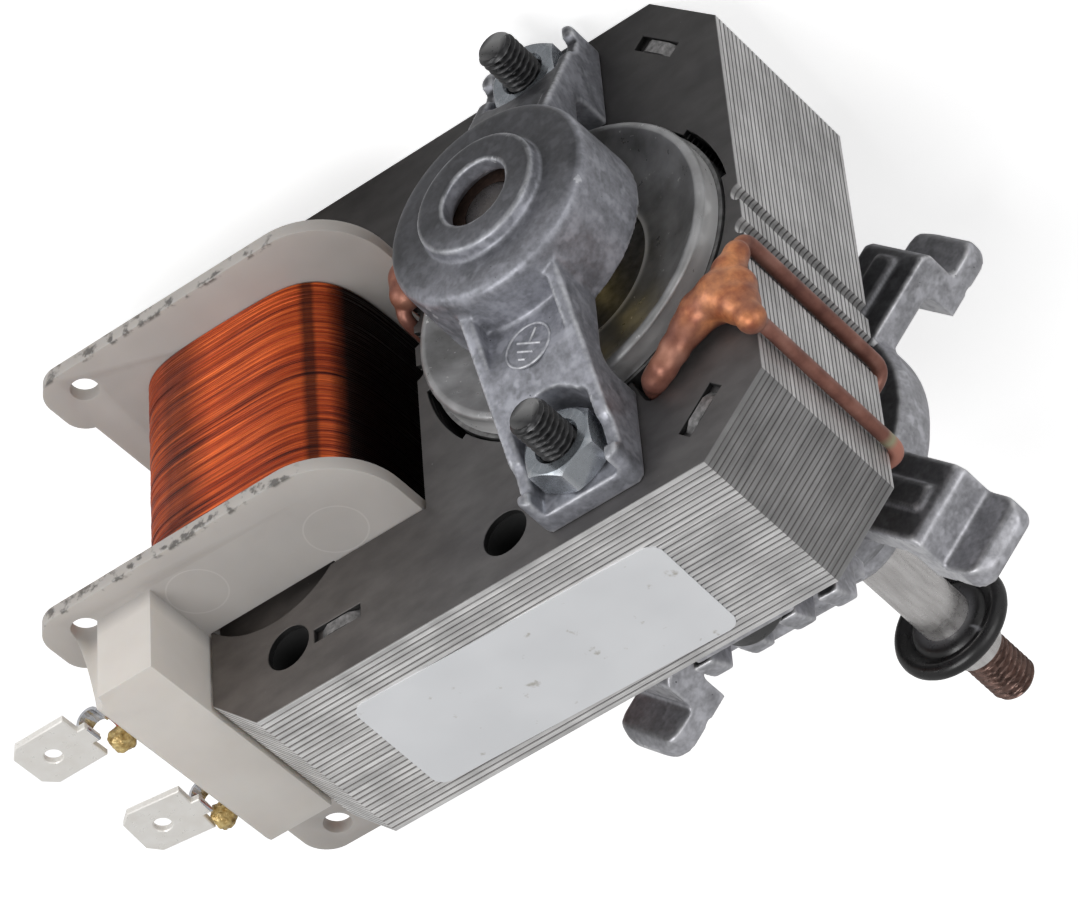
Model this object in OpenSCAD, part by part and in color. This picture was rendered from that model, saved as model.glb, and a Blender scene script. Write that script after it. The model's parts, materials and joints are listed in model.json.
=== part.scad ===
// Shaded-pole fan motor of a convection oven.
// The shaft runs along Y and its threaded end points to +Y.
// The winding lies on the +X side and the rating label faces +Z.
// The origin is on the shaft axis, in the plane that the four mounting feet rest on.

/* [Lamination stack] */
// Thickness of one lamination
lamination_t = 0.65; // [0.5:0.05:0.8]
// Number of laminations in the stack
lamination_n = 31; // [26:1:38]
// Radius of the bore that the rotor turns in
bore_r = 17; // [16:0.1:18.5]
// How far the graded part of each pole steps back from the rotor
pole_step = 0.6; // [0.3:0.1:0.9]
// Iron left between the bore and the flat walls beside it
bridge_t = 1.5; // [1.2:0.1:3]
// Iron above and below the bore
pole_back = 13.5; // [12.5:0.1:16]
// Room between the bridge and the core, which the winding fills
coil_gap = 10.7; // [10:0.1:13]
// Height of the winding window
window_h = 33.2; // [30:0.1:36]
// Chamfer of the outer corners at the rotor end
rotor_chamfer = 7; // [3:0.5:8]
// Chamfer of the outer corners at the winding end
coil_chamfer = 5; // [2:0.5:6]
// Radius of the four spare fixing holes
spare_hole_r = 2.4; // [1.5:0.1:2.8]
// Distance of the rotor-side fixing holes from the shaft axis along X
spare_hole_x = 10; // [8:0.5:12]
// Length of the interlock slots
interlock_l = 5.6; // [4:0.1:7]
// Width of the interlock slots
interlock_w = 1; // [0.6:0.1:1.5]
// Width of the slots that take the shading rings
shading_slot_w = 2.6; // [2.4:0.1:3.5]
// Depth of those slots behind the bore
shading_slot_d = 4.2; // [4:0.1:5]

/* [Core and winding] */
// Width of the core that is pressed in through the winding
core_w = 14.7; // [12:0.1:18]
// How far each end of the core reaches into its limb
core_seat = 3; // [2:0.1:4]
// Radius of the round ends of the core
core_end_r = 9.5; // [9:0.1:12]
// Wall of the bobbin's tube
bobbin_wall = 1; // [0.6:0.1:1.5]
// Thickness of the bobbin's flanges
flange_t = 1.5; // [1:0.1:2]
// How far the flanges reach past the winding end of the stack
flange_out = 10.7; // [9:0.1:14]
// How far the flanges stand out in front of and behind the stack
flange_side = 11.3; // [9:0.1:14]
// Height of the winding on the bobbin's tube, towards the rotor
winding_x = 4.4; // [3:0.1:4.8]
// Height of the winding in front of and behind the core
winding_y = 5.4; // [4:0.1:7]
// Radius of the holes in the bobbin's ears
ear_hole_r = 1.45; // [1:0.05:1.8]
// Depth of the terminal block below the flange
block_h = 9.5; // [8:0.1:12]
// Length of the terminal block along the shaft's direction
block_l = 25.7; // [23:0.1:28]

/* [Terminals] */
// Width of the tabs
tab_w = 6.3; // [4.8:0.1:6.5]
// Thickness of the tabs
tab_t = 0.8; // [0.5:0.1:1]
// Length of a tab outside its shoulder
tab_l = 7; // [6:0.1:9]
// Distance between the two tabs
tab_pitch = 14.4; // [13:0.1:16]

/* [Shading rings] */
// Radius of the copper wire
wire_r = 1; // [0.7:0.05:1.1]
// Height on the end wall of the strand that is nearer the middle
near_strand_z = 8; // [7:0.1:9]

/* [Front bracket] */
// Outer radius of the bearing cap
cap_r = 11; // [10.6:0.1:12]
// Distance from the stack to the cap's flat face
cap_depth = 13.6; // [13.3:0.1:16]
// Radius of the raised nose
nose_r = 6.6; // [6:0.1:8]
// Height of the raised nose
nose_h = 1.45; // [1:0.05:2]
// Radius of the hole in the nose
nose_hole_r = 3.55; // [3.3:0.05:3.8]
// Width of the bracket's arms
arm_w = 11; // [10:0.1:13]
// Thickness of the arms' side ribs
rib_t = 1.4; // [1:0.1:1.8]
// Thickness of the castings' floors
cast_t = 2.2; // [1.6:0.1:2.5]
// Distance from the wall of the bore to the bolts
bolt_margin = 7.4; // [6.8:0.1:8.5]

/* [Rear bracket] */
// Distance from the stack to the front of the rear bracket's arms
rear_leg = 9.85; // [9:0.05:14]
// Distance from the front of those arms to the mounting plane
mount_depth = 7.2; // [6:0.1:10]
// Thickness of the mounting arms and of the walls that drop to the feet
mount_arm_t = 3.2; // [2.4:0.1:3.6]
// Radius of the rear bracket's drum
drum_r = 15.5; // [14:0.1:17]
// Radius that the mounting feet reach
foot_r = 29.1; // [28:0.1:34]
// How far a foot stands out from the wall of its arm
foot_l = 4.6; // [3:0.1:6]
// Width of the four mounting arms
foot_w = 8.5; // [7:0.1:10]
// Thickness of the feet
foot_t = 2.7; // [1.8:0.1:3.2]
// Radius of the feet's outer corners
foot_corner_r = 2.3; // [0.5:0.1:3]
// Length of the sleeve around the shaft behind the mounting plane
sleeve_l = 7.8; // [4:0.1:12]
// Outer radius of that sleeve
sleeve_r = 5.6; // [4.5:0.1:7]
// Distance between the stiffening fins on the lower leg
fin_pitch = 4.7; // [4:0.1:6]
// Width of each stiffening fin
fin_w = 2.2; // [1.2:0.1:3]

/* [Bearings] */
// Radius of the spherical bearings
ball_r = 5.6; // [5:0.1:6]
// Length of the bearings
bearing_l = 7.2; // [6:0.1:8]
// Radius of the cups that hold the bearings
cup_r = 9.2; // [8.6:0.1:9.4]
// Clearance of the shaft in its bearings, on the radius
running_fit = 0.02; // [0.01:0.01:0.08]

/* [Rotor] */
// Gap between the rotor and the stack
air_gap = 0.3; // [0.25:0.05:0.5]
// Number of bars in the cage
bar_n = 17; // [13:1:19]
// Radius of the cage's bars
bar_r = 1.3; // [0.8:0.1:1.5]
// Height of the cage's rings over the core
ring_h = 2.6; // [1.6:0.1:3]
// Radius of the shaft
shaft_r = 2.75; // [2.5:0.05:3]
// How far the shaft reaches past the mounting plane
shaft_out = 34.8; // [30:0.1:45]
// Length of the thread at the shaft's end
thread_l = 6.5; // [5:0.1:12]
// Radius of the thread
thread_r = 2.5; // [2:0.05:2.5]
// Distance from the mounting plane to the flinger disc
disc_y = 22.3; // [14:0.1:23]
// Radius of the flinger disc
disc_r = 6.5; // [5:0.1:9]
// Thickness of the flinger disc
disc_t = 2; // [1.5:0.1:3]

/* [Fasteners and label] */
// Radius of the through bolts
bolt_r = 2; // [1.5:0.1:2.2]
// How far the bolts stand out in front of the stack
bolt_out = 9.9; // [8:0.1:12]
// Width of the nuts across their flats
nut_af = 7; // [6.5:0.1:7.5]
// Height of the nuts
nut_h = 3.2; // [2.2:0.1:4]
// Length of the rating label
label_l = 33.7; // [25:0.1:36]
// Width of the rating label
label_w = 13.6; // [10:0.1:15]
// Tilt of the rating label on its face
label_tilt = -1.5; // [-3:0.5:3]

/* [Hidden] */
$fn = 64;

// Clearance of pieces that are pressed or laid against each other
fit = 0.05;
// Overshoot of a cut past the face that it opens
cut = 1;

// Places along the shaft
stack_l = lamination_t * lamination_n;
stack_back = -(mount_depth + rear_leg);
stack_front = stack_back - stack_l;
stack_mid = (stack_front + stack_back) / 2;
cap_face = stack_front - cap_depth;
cap_open = stack_front - 5;
arm_front = -mount_depth;

// Outline of the stack
end_x = bore_r + bridge_t;
half_h = bore_r + pole_back;
core_x0 = end_x + coil_gap;
coil_end_x = core_x0 + core_w;
core_x = core_x0 + core_w / 2;
core_z = window_h / 2 + core_seat;
bolt_z = bore_r + bolt_margin;
bolt_hole_r = bolt_r + 0.1;
pad_z = bolt_z + 4.3;
pad_inner = bore_r + 0.9;
nut_room_r = nut_af / 2 / cos(30) + 0.8;
spare_hole_z = core_z + spare_hole_r + 1.7;
side_hole_z = half_h - 5.3;
interlock_z = half_h - 6.3;
groove_z = 0.8;
groove_r = 0.7;
// Angles between which each pole steps back
step_from = 7.4;
step_to = 38;
shading_angle = 111.4;
notch_r = wire_r + 0.2;
near_strand_x = end_x + 0.35;
winding_hole_x = core_x - 1.65;
// Radius of the outer wall of the mounting arms
foot_wall_r = foot_r - foot_l;
// Play between the core and the stack
press_gap = 0.02;

// Bobbin and winding
flange_z = window_h / 2 - 0.1;
coil_z = flange_z - flange_t;
tube_x = core_w / 2 + fit + bobbin_wall;
tube_y = stack_l / 2 + fit + bobbin_wall;
flange_x0 = end_x + 0.4;
flange_x1 = coil_end_x + flange_out;
flange_y = stack_l / 2 + flange_side;
flange_corner_r = 8;
// Length of a bobbin ear and how far it reaches past the flange
ear_l = 7.8;
ear_out = 1.7;
ear_x = flange_x1 - 2.6;
ear_y = flange_y - 3.1;
block_x0 = coil_end_x + 0.3;
block_x1 = flange_x1 - 2.6;
block_y0 = stack_mid - flange_y + 3;
block_z = flange_z + block_h;
tab_z = block_z - 2;
tab_y = block_y0 + 4.7;
stem_w = tab_w * 0.55;
curl_r = 1.15;
// Draft of the terminal block's outer wall
block_draft = 1.6;

// Bearings
front_ball_y = stack_front - 9;
rear_ball_y = arm_front + 4;
seat_gap = 0.03;
bearing_half = bearing_l / 2;
// Distance from a bearing's centre to the floor of its cup
cup_floor = 3.1;
retainer_t = 0.8;
// Distance from a bearing's centre to the front of its retainer
retainer_at = 2.8;
collar_h = 1.8;
washer_t = 0.5;
end_play = 0.3;
spacer_r = shaft_r + 1.25;
washer_r = spacer_r + 0.4;
// Play of the pieces that are pressed on the shaft
shaft_gap = 0.01;

// Draws its 2-D children in X and Z and extrudes them from y0 to y1
module plate(y0, y1) {
    translate([0, y1, 0]) rotate([90, 0, 0]) linear_extrude(y1 - y0) children();
}

// Extrudes a side view, drawn as distance below the axis and Y, over a width along X
module side(width) {
    translate([-width / 2, 0, 0]) rotate([0, 90, 0]) mirror([1, 0, 0])
        linear_extrude(width) children();
}

// Extrudes its 2-D children, drawn in X and Y, from z0 to z1
module slab(z0, z1) {
    translate([0, 0, z0]) linear_extrude(z1 - z0) children();
}

module rod(r, y0, y1, x = 0, z = 0) {
    translate([x, y0, z]) rotate([-90, 0, 0]) cylinder(r = r, h = y1 - y0);
}

// Turns a profile of [radius, y] points about the shaft axis
module turned(points) {
    rotate([-90, 0, 0]) rotate_extrude() polygon(points);
}

// Points on an arc about [cx, cy]
function arc(cx, cy, r, a0, a1, n = 6) =
    [for (i = [0:n]) let (a = a0 + (a1 - a0) * i / n) [cx + r * cos(a), cy + r * sin(a)]];

// Radius of a ball of radius r at a distance d from its centre
function ball_at(r, d) = sqrt(r * r - d * d);

// What a corner of radius r takes off a square corner at the origin
module corner_cut(r) {
    difference() {
        translate([-cut, -cut]) square(r + cut);
        translate([r, r]) circle(r);
    }
}

// Rectangle with its own radius at each corner, from the lower left one round
module round_rect(x0, y0, x1, y1, radii) {
    difference() {
        translate([x0, y0]) square([x1 - x0, y1 - y0]);
        translate([x0, y0]) corner_cut(radii[0]);
        translate([x1, y0]) mirror([1, 0]) corner_cut(radii[1]);
        translate([x1, y1]) mirror([1, 0]) mirror([0, 1]) corner_cut(radii[2]);
        translate([x0, y1]) mirror([0, 1]) corner_cut(radii[3]);
    }
}

module both_z() {
    children();
    mirror([0, 0, 1]) children();
}

// Lamination stack

module stack_outline() {
    c = rotor_chamfer;
    d = coil_chamfer;
    polygon([
        [-end_x, -half_h + c], [-end_x + c, -half_h], [coil_end_x - d, -half_h],
        [coil_end_x, -half_h + d], [coil_end_x, half_h - d], [coil_end_x - d, half_h],
        [-end_x + c, half_h], [-end_x, half_h - c]
    ]);
}

// Sector of a circle between two angles
module sector(r, a0, a1) {
    intersection() {
        circle(r);
        polygon([[0, 0], 2 * r * [cos(a0), sin(a0)], 2 * r * [cos(a1), sin(a1)]]);
    }
}

module core_outline(grow = 0) {
    intersection() {
        union() {
            for (s = [-1, 1]) translate([core_x, s * (core_z - core_end_r)]) circle(core_end_r + grow);
            translate([core_x0 - grow, -(core_z - core_end_r)])
                square([core_w + 2 * grow, 2 * (core_z - core_end_r)]);
        }
        translate([core_x0 - grow, -half_h]) square([core_w + 2 * grow, 2 * half_h]);
    }
}

module shading_slot() {
    reach = bore_r + shading_slot_d - shading_slot_w / 2;
    rotate(shading_angle) {
        translate([bore_r - cut, -shading_slot_w / 2]) square([reach - bore_r + cut, shading_slot_w]);
        translate([reach, 0]) circle(shading_slot_w / 2);
    }
}

module pole_face() {
    circle(bore_r);
    for (a = [0, 180]) rotate(a) {
        sector(bore_r + pole_step, step_from, step_to);
        shading_slot();
        translate([-near_strand_x, near_strand_z]) circle(notch_r);
        translate([-end_x, groove_z]) circle(groove_r);
    }
}

module stator_stack() {
    color("#8c8c8e") difference() {
        plate(stack_front, stack_back) difference() {
            stack_outline();
            pole_face();
            translate([end_x, -window_h / 2]) square([coil_gap + 1, window_h]);
            core_outline(grow = press_gap);
            translate([coil_end_x - 1, -core_z + core_end_r]) square([2, 2 * (core_z - core_end_r)]);
            for (s = [-1, 1]) {
                translate([0, s * bolt_z]) circle(bolt_hole_r);
                translate([winding_hole_x, s * spare_hole_z]) circle(spare_hole_r);
                translate([spare_hole_x, s * side_hole_z]) circle(spare_hole_r);
            }
        }
        plate(stack_front - cut, stack_front + lamination_t) for (s = [-1, 1]) {
            translate([core_x0, s * interlock_z]) square([interlock_l, interlock_w], center = true);
            translate([-end_x + rotor_chamfer * 0.97, s * interlock_z]) rotate(s * 45)
                square([interlock_l, interlock_w], center = true);
        }
    }
}

module coil_core() {
    color("#7d7d80") plate(stack_front, stack_back) core_outline();
}

// Bobbin, winding and terminals

module flange_outline() {
    y0 = stack_mid - flange_y;
    y1 = stack_mid + flange_y;
    round_rect(flange_x0, y0, flange_x1, y1, [flange_corner_r, 2, 2, flange_corner_r]);
    round_rect(flange_x1 - ear_l, y0, flange_x1 + ear_out, y0 + ear_l, [1, 3, 2.5, 1]);
    round_rect(flange_x1 - ear_l, y1 - ear_l, flange_x1 + ear_out, y1, [1, 2.5, 3, 1]);
}

// Where a tab starts; the second one sits a little deeper in the block
function tab_x(index) = block_x1 + 4.2 - index * 1.2;

function tab_mid(index) = tab_y + index * tab_pitch;

module stem(index, grow) {
    translate([block_x1 - 4, tab_mid(index) - stem_w / 2 - grow, tab_z - tab_t / 2 - grow])
        cube([tab_x(index) + fit - block_x1 + 4, stem_w + 2 * grow, tab_t + 2 * grow]);
}

module terminal_block() {
    base = flange_z - flange_t / 2;
    plate(block_y0, block_y0 + block_l) polygon([
        [block_x0, base], [block_x1 + block_draft, base], [block_x1, block_z - 0.5],
        [block_x1 - 0.5, block_z], [block_x0, block_z]
    ]);
}

module bobbin() {
    color("#e4e1d6") difference() {
        union() {
            slab(-coil_z - flange_t / 2, coil_z + flange_t / 2) translate([core_x, stack_mid])
                square([2 * tube_x, 2 * tube_y], center = true);
            both_z() slab(coil_z, flange_z) flange_outline();
            terminal_block();
        }
        slab(-half_h, flange_z + cut) translate([core_x, stack_mid])
            square([core_w + 2 * fit, stack_l + 2 * fit], center = true);
        slab(-half_h, half_h) for (s = [-1, 1]) translate([ear_x, stack_mid + s * ear_y])
            circle(ear_hole_r);
        for (i = [0, 1]) stem(i, fit);
    }
}

// Outline of the winding: flat sides that bulge a little, with round corners
module winding_outline() {
    a = tube_x + winding_x;
    b = tube_y + winding_y;
    n = 4.5;
    polygon([for (t = [0:6:354])
        [a * sign(cos(t)) * pow(abs(cos(t)), 2 / n), b * sign(sin(t)) * pow(abs(sin(t)), 2 / n)]]);
}

module coil_winding() {
    color("#b5502a") slab(-coil_z + fit, coil_z - fit) translate([core_x, stack_mid]) difference() {
        winding_outline();
        square([2 * (tube_x + fit), 2 * (tube_y + fit)], center = true);
    }
}

// A push-on tab with chamfered corners, its stem and a strip rolled up for the winding's end
module terminal(index) {
    half = tab_w / 2;
    c = 1.2;
    color("#c9c7bf") {
        stem(index, 0);
        translate([tab_x(index), tab_mid(index), 0]) rotate([0, 0, -7 * index]) difference() {
            slab(tab_z - tab_t / 2, tab_z + tab_t / 2) polygon([
                [0, -half], [tab_l - c, -half], [tab_l, -half + c],
                [tab_l, half - c], [tab_l - c, half], [0, half]
            ]);
            translate([tab_l * 0.55, 0, tab_z - cut]) cylinder(r = 0.9, h = 2 * cut);
        }
        translate([tab_x(index) - curl_r - 0.2, tab_mid(index) - 0.4, tab_z - tab_t / 2 - curl_r + 0.2])
            difference() {
                rod(curl_r, -stem_w / 2 + 0.5, stem_w / 2 - 0.5);
                rod(curl_r - 0.4, -stem_w, stem_w);
            }
    }
}

// A faceted bead with its axis along Z
module bead(r) {
    for (s = [0, 1]) mirror([0, 0, s]) {
        cylinder(r1 = r, r2 = r * 0.87, h = r / 2, $fn = 12);
        translate([0, 0, r / 2]) cylinder(r1 = r * 0.87, r2 = r * 0.4, h = r * 0.45, $fn = 12);
    }
}

// Soldered end of the winding: a drop beside the stem and the wire that comes to it
module lead(index) {
    drop_r = 1.35;
    x = block_x1 + drop_r + 0.8;
    y = tab_mid(index) + stem_w / 2 + drop_r - 0.2;
    z = tab_z - 0.3;
    color("#a9823a") difference() {
        union() {
            translate([x, y, z]) bead(drop_r);
            translate([block_x1 + block_draft / 3, y, z]) rotate([0, 90, 0])
                cylinder(r = 0.35, h = drop_r, $fn = 8);
        }
        translate([x - 3, tab_mid(index) - stem_w, z - 3]) cube([6, stem_w * 1.5 + fit, 6]);
        translate([tab_x(index) - fit, y - 3, z - 3]) cube([3, 6, 6]);
    }
}

module rating_label() {
    x = (core_x0 - end_x) / 2 + 9.45;
    color("#e8e8e4") translate([x, stack_mid + 1.4, half_h]) rotate(label_tilt)
        linear_extrude(0.12)
            round_rect(-label_l / 2, -label_w / 2, label_l / 2, label_w / 2, [1.4, 1.4, 1.4, 1.4]);
}

// Shading rings

// Straight piece of wire with twelve sides, which runs a little past the bends at its ends
module wire(from, to) {
    step = to - from;
    translate(from) rotate([0, acos(step[2] / norm(step)), atan2(step[1], step[0])])
        translate([0, 0, -wire_r / 2]) cylinder(r = wire_r, h = norm(step) + wire_r, $fn = 12);
}

// The closed pair of strands round the shaded part of one pole, drawn for the lower pole
module shading_ring(far_z, blob, blob_r) {
    leg_r = bore_r + shading_slot_d - shading_slot_w / 2;
    leg = leg_r * [cos(shading_angle), sin(shading_angle)];
    front = stack_front - wire_r - fit;
    back = stack_back + wire_r + fit;
    joint = [blob[0], stack_front - blob_r - fit, blob[1]];
    leg_front = [leg[0], front, leg[1]];
    leg_back = [leg[0], back, leg[1]];
    far_x = -end_x - wire_r - fit;
    color("#b8775a") {
        for (strand = [[-near_strand_x, near_strand_z], [far_x, far_z]]) {
            strand_front = [strand[0], front, strand[1]];
            strand_back = [strand[0], back, strand[1]];
            wire(joint, strand_front);
            wire(strand_front, strand_back);
            wire(strand_back, leg_back);
        }
        wire(leg_back, leg_front);
        wire(leg_front, joint);
        translate(joint) sphere(blob_r);
    }
}

module shading_ring_lower() {
    shading_ring(19 * half_h / 30.5, [-end_x + 2.2, 15.2], 2.5);
}

module shading_ring_upper() {
    rotate([0, 180, 0]) shading_ring(coil_z - 2.4, [-end_x + 2.6, 13.4], 1.9);
}

// Front bracket

// Plan of an arm: a strip with round corners at its pad
module arm_plan(inset, reach) {
    round_rect(-arm_w / 2 + inset, 0, arm_w / 2 - inset, reach, [0.5, 0.5, 1.2, 1.2]);
}

// An arm from the bearing housing to its pad, drawn towards +Z, open in front as a channel
module front_arm() {
    pad_front = stack_front - cast_t;
    wall_front = pad_front - cast_t;
    web_front = stack_front - 8.4;
    web_out = pad_inner + cast_t + 1;
    arch_r = 2;
    difference() {
        intersection() {
            plate(cap_face, stack_front) arm_plan(0, pad_z);
            // Ribs that fall towards the bolt, then the pad's walls with a raised corner
            side(arm_w + cut) polygon(concat(
                [[0, cap_face + 2.4], [cap_r - 1.1, cap_face + 2.4], [bolt_z - 0.5, wall_front - 0.8],
                 [bolt_z, wall_front], [pad_z - 2, wall_front + 0.7], [pad_z - 1.5, wall_front - 0.1],
                 [pad_z + cut, wall_front - 0.1], [pad_z + cut, stack_front], [pad_inner, stack_front]],
                arc(pad_inner - arch_r, cap_open + arch_r, arch_r, 0, -90, 5),
                [[0, cap_open]]
            ));
        }
        intersection() {
            plate(cap_face - cut, stack_front + cut) arm_plan(rib_t, pad_z + 2 * cut);
            union() {
                side(arm_w) {
                    polygon([
                        [cap_r - 2, cap_face - cut], [cap_r - 2, web_front], [web_out, web_front],
                        [web_out, pad_front], [pad_z + 2 * cut, pad_front],
                        [pad_z + 2 * cut, cap_face - cut]
                    ]);
                    polygon([
                        [cap_r - 2, web_front + cast_t], [pad_inner - 0.3, web_front + cast_t],
                        [pad_inner - 0.3, stack_front + cut], [cap_r - 2, stack_front + cut]
                    ]);
                }
                // Round recess that leaves room for the nut
                rod(nut_room_r, cap_face - cut, pad_front, 0, bolt_z);
            }
        }
        rod(bolt_hole_r + 0.15, cap_face, stack_front + cut, 0, bolt_z);
    }
}

// Profile of the front housing, open towards the rotor, with the seat of the bearing
function front_housing() = concat(
    [[nose_hole_r, cap_face - nose_h], [nose_r - 0.4, cap_face - nose_h]],
    arc(nose_r - 0.4, cap_face - nose_h + 0.4, 0.4, -90, 0, 3),
    [[nose_r + 0.1, cap_face - 0.2], [nose_r + 0.3, cap_face], [cap_r - 1.1, cap_face]],
    arc(cap_r - 1.1, cap_face + 1.1, 1.1, -90, 0, 4),
    [[cap_r + 0.15, cap_open], [cup_r, cap_open], [cup_r, front_ball_y - cup_floor]],
    arc(0, front_ball_y, ball_r + seat_gap, 270 + asin(ball_at(ball_r, cup_floor) / ball_r),
        270 + asin(nose_hole_r / (ball_r + seat_gap)), 6)
);

module front_bracket() {
    color("#8f9299") {
        turned(front_housing());
        both_z() difference() {
            front_arm();
            rod((cup_r + cap_r) / 2, cap_face - cut, stack_front);
        }
    }
}

// Rear bracket

// Side view of a mounting arm: out, back along its wall and out again as a foot
function foot_profile() = let (
    bend = 0.8,
    inner = foot_wall_r - mount_arm_t + 0.2,
    root = drum_r - 3
) [
    [root, arm_front], [foot_wall_r - bend, arm_front], [foot_wall_r, arm_front + bend],
    [foot_wall_r, -foot_t], [foot_r - 0.9, -foot_t], [foot_r, -foot_t + 1.2], [foot_r, -0.5],
    [foot_r - 0.5, 0], [foot_wall_r + 0.3, 0], [foot_wall_r, -0.4], [foot_wall_r - 0.4, 0],
    [inner, 0], [inner, arm_front + mount_arm_t + bend], [inner - bend, arm_front + mount_arm_t],
    [root, arm_front + mount_arm_t]
];

module mounting_arm() {
    half = foot_w / 2;
    c = foot_corner_r;
    intersection() {
        side(foot_w) polygon(foot_profile());
        plate(arm_front - cut, cut) polygon(concat(
            [[-half, 0], [half, 0]],
            arc(half - c, foot_r - c, c, 0, 90), arc(c - half, foot_r - c, c, 90, 180)
        ));
    }
    // Low rib along the front of the arm
    side(2.8) polygon([
        [drum_r - 3, arm_front - 0.6], [foot_wall_r - 1.8, arm_front - 0.6],
        [foot_wall_r - 1.3, arm_front + 0.1], [drum_r - 3, arm_front + 0.1]
    ]);
}

// A leg from the drum to the pad on the back of the stack
module rear_leg_arm() {
    difference() {
        side(arm_w) polygon([
            [drum_r - 3, arm_front], [pad_inner + 0.3, arm_front], [pad_inner + 0.3, stack_back],
            [pad_z, stack_back], [pad_z, stack_back + cast_t],
            [pad_inner + 0.3 + cast_t, stack_back + cast_t],
            [pad_inner + 0.3 + cast_t, arm_front + cast_t], [drum_r - 3, arm_front + cast_t]
        ]);
        rod(bolt_hole_r + 0.15, stack_back - cut, stack_back + cast_t + cut, 0, bolt_z);
    }
}

// Four fins on the outer side of the lower leg, on a plate that is wider than the leg
module fins() {
    leg_z = pad_inner + 0.3;
    crest = leg_z + cast_t + 4.3;
    fin_front = stack_back + cast_t + bolt_r * 1.2 + 0.4;
    fin_back = arm_front - 1;
    side(3 * fin_pitch + fin_w + 0.4) polygon([
        [leg_z + 0.1, fin_front], [leg_z + cast_t - 0.1, fin_front],
        [leg_z + cast_t - 0.1, arm_front + 0.8], [leg_z + 0.1, arm_front + 0.8]
    ]);
    for (i = [-1.5, -0.5, 0.5, 1.5]) translate([i * fin_pitch - 0.2, 0, 0]) side(fin_w) polygon([
        [leg_z + 0.5, fin_front], [crest + 1.3, fin_front], [crest, fin_back - 0.9],
        [crest - 0.6, fin_back], [leg_z + 0.5, fin_back]
    ]);
}

function rear_housing() = concat(
    [[cup_r, arm_front + 0.3], [drum_r - 0.6, arm_front + 0.3], [drum_r, arm_front + 1.5],
     [drum_r, arm_front + 4.5], [drum_r - 1.2, arm_front + 6.2], [cup_r + 1.6, arm_front + 6.2],
     [cup_r + 1, arm_front + 8.5], [cup_r - 0.3, arm_front + 9.2], [sleeve_r + 0.6, arm_front + 9.5],
     [sleeve_r + 0.1, arm_front + 10], [sleeve_r, sleeve_l], [nose_hole_r - 0.3, sleeve_l]],
    [[nose_hole_r - 0.3, rear_ball_y + 4.6]],
    arc(0, rear_ball_y, ball_r + seat_gap, 90 - asin(nose_hole_r / (ball_r + seat_gap)),
        90 - asin(ball_at(ball_r, cup_floor) / ball_r), 6),
    [[cup_r, rear_ball_y + cup_floor]]
);

module rear_bracket() {
    color("#6d7076") {
        turned(rear_housing());
        difference() {
            union() {
                for (a = [45, 135, 225, 315]) rotate([0, a, 0]) mounting_arm();
                both_z() rear_leg_arm();
                fins();
            }
            rod(drum_r - 1.5, arm_front - 3 * cut, sleeve_l);
        }
    }
}

// Bearings, felts and retainers; way is -1 where the cup's floor is in front and 1 where it is behind

module bearing(ball_y) {
    color("#a98d5a") difference() {
        translate([0, ball_y, 0]) intersection() {
            rotate([-90, 0, 0]) sphere(ball_r);
            rod(ball_r + cut, -bearing_half, bearing_half);
        }
        rod(shaft_r + running_fit, ball_y - ball_r, ball_y + ball_r);
    }
}

module felt(ball_y, way) {
    color("#cfc8b4") difference() {
        translate([0, ball_y, 0]) mirror([0, way < 0 ? 1 : 0, 0])
            rod(cup_r - fit, -retainer_at + retainer_t + fit, cup_floor - fit);
        rod(ball_r + fit, ball_y - ball_r, ball_y + ball_r);
    }
}

// Pressed retainer: a dished washer with a short collar that holds the bearing in its seat
module retainer(ball_y, way) {
    grip = ball_at(ball_r, retainer_at - retainer_t) + fit;
    // Radius at a share of the room between the bearing and its cup
    function across(share) = ball_r + (cup_r - ball_r) * share;
    color("#c8a04a") translate([0, ball_y, 0]) mirror([0, way < 0 ? 1 : 0, 0]) turned([
        [grip, -retainer_at + retainer_t], [cup_r - fit, -retainer_at + retainer_t],
        [cup_r - fit, -retainer_at], [across(11 / 18), -retainer_at],
        [across(5 / 9), -retainer_at - collar_h], [across(5 / 18), -retainer_at - collar_h],
        [across(2 / 9), -retainer_at], [grip, -retainer_at]
    ]);
}

// Fasteners

module bolt() {
    color("#2f2f31") {
        rod(bolt_r, stack_front - bolt_out + 0.5, stack_back + cast_t + fit, 0, bolt_z);
        translate([0, stack_front - bolt_out, bolt_z]) rotate([-90, 0, 0])
            cylinder(r1 = bolt_r - 0.5, r2 = bolt_r, h = 0.5);
        rod(bolt_r * 1.75, stack_back + cast_t, stack_back + cast_t + bolt_r * 1.2, 0, bolt_z);
    }
}

module nut() {
    color("#b9bcc0") difference() {
        translate([0, stack_front - cast_t - nut_h, bolt_z]) rotate([-90, 0, 0])
            cylinder(r = nut_af / 2 / cos(30), h = nut_h, $fn = 6);
        rod(bolt_r + 0.02, stack_front - cast_t - nut_h - cut, stack_front, 0, bolt_z);
    }
}

// Rotor

core_r = bore_r - air_gap;
hub_r = core_r / 2;
bar_ring_r = core_r - bar_r - 1;
ring_r = core_r - 0.4;
washer_front_y = front_ball_y + bearing_half + end_play;
washer_rear_y = rear_ball_y - bearing_half - end_play;

module rotor_core() {
    color("#6a6a6c") plate(stack_front, stack_back) difference() {
        circle(core_r);
        circle(shaft_r + shaft_gap);
        for (i = [0:bar_n - 1]) rotate(i * 360 / bar_n) translate([bar_ring_r, 0]) circle(bar_r + 0.02);
    }
}

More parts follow.
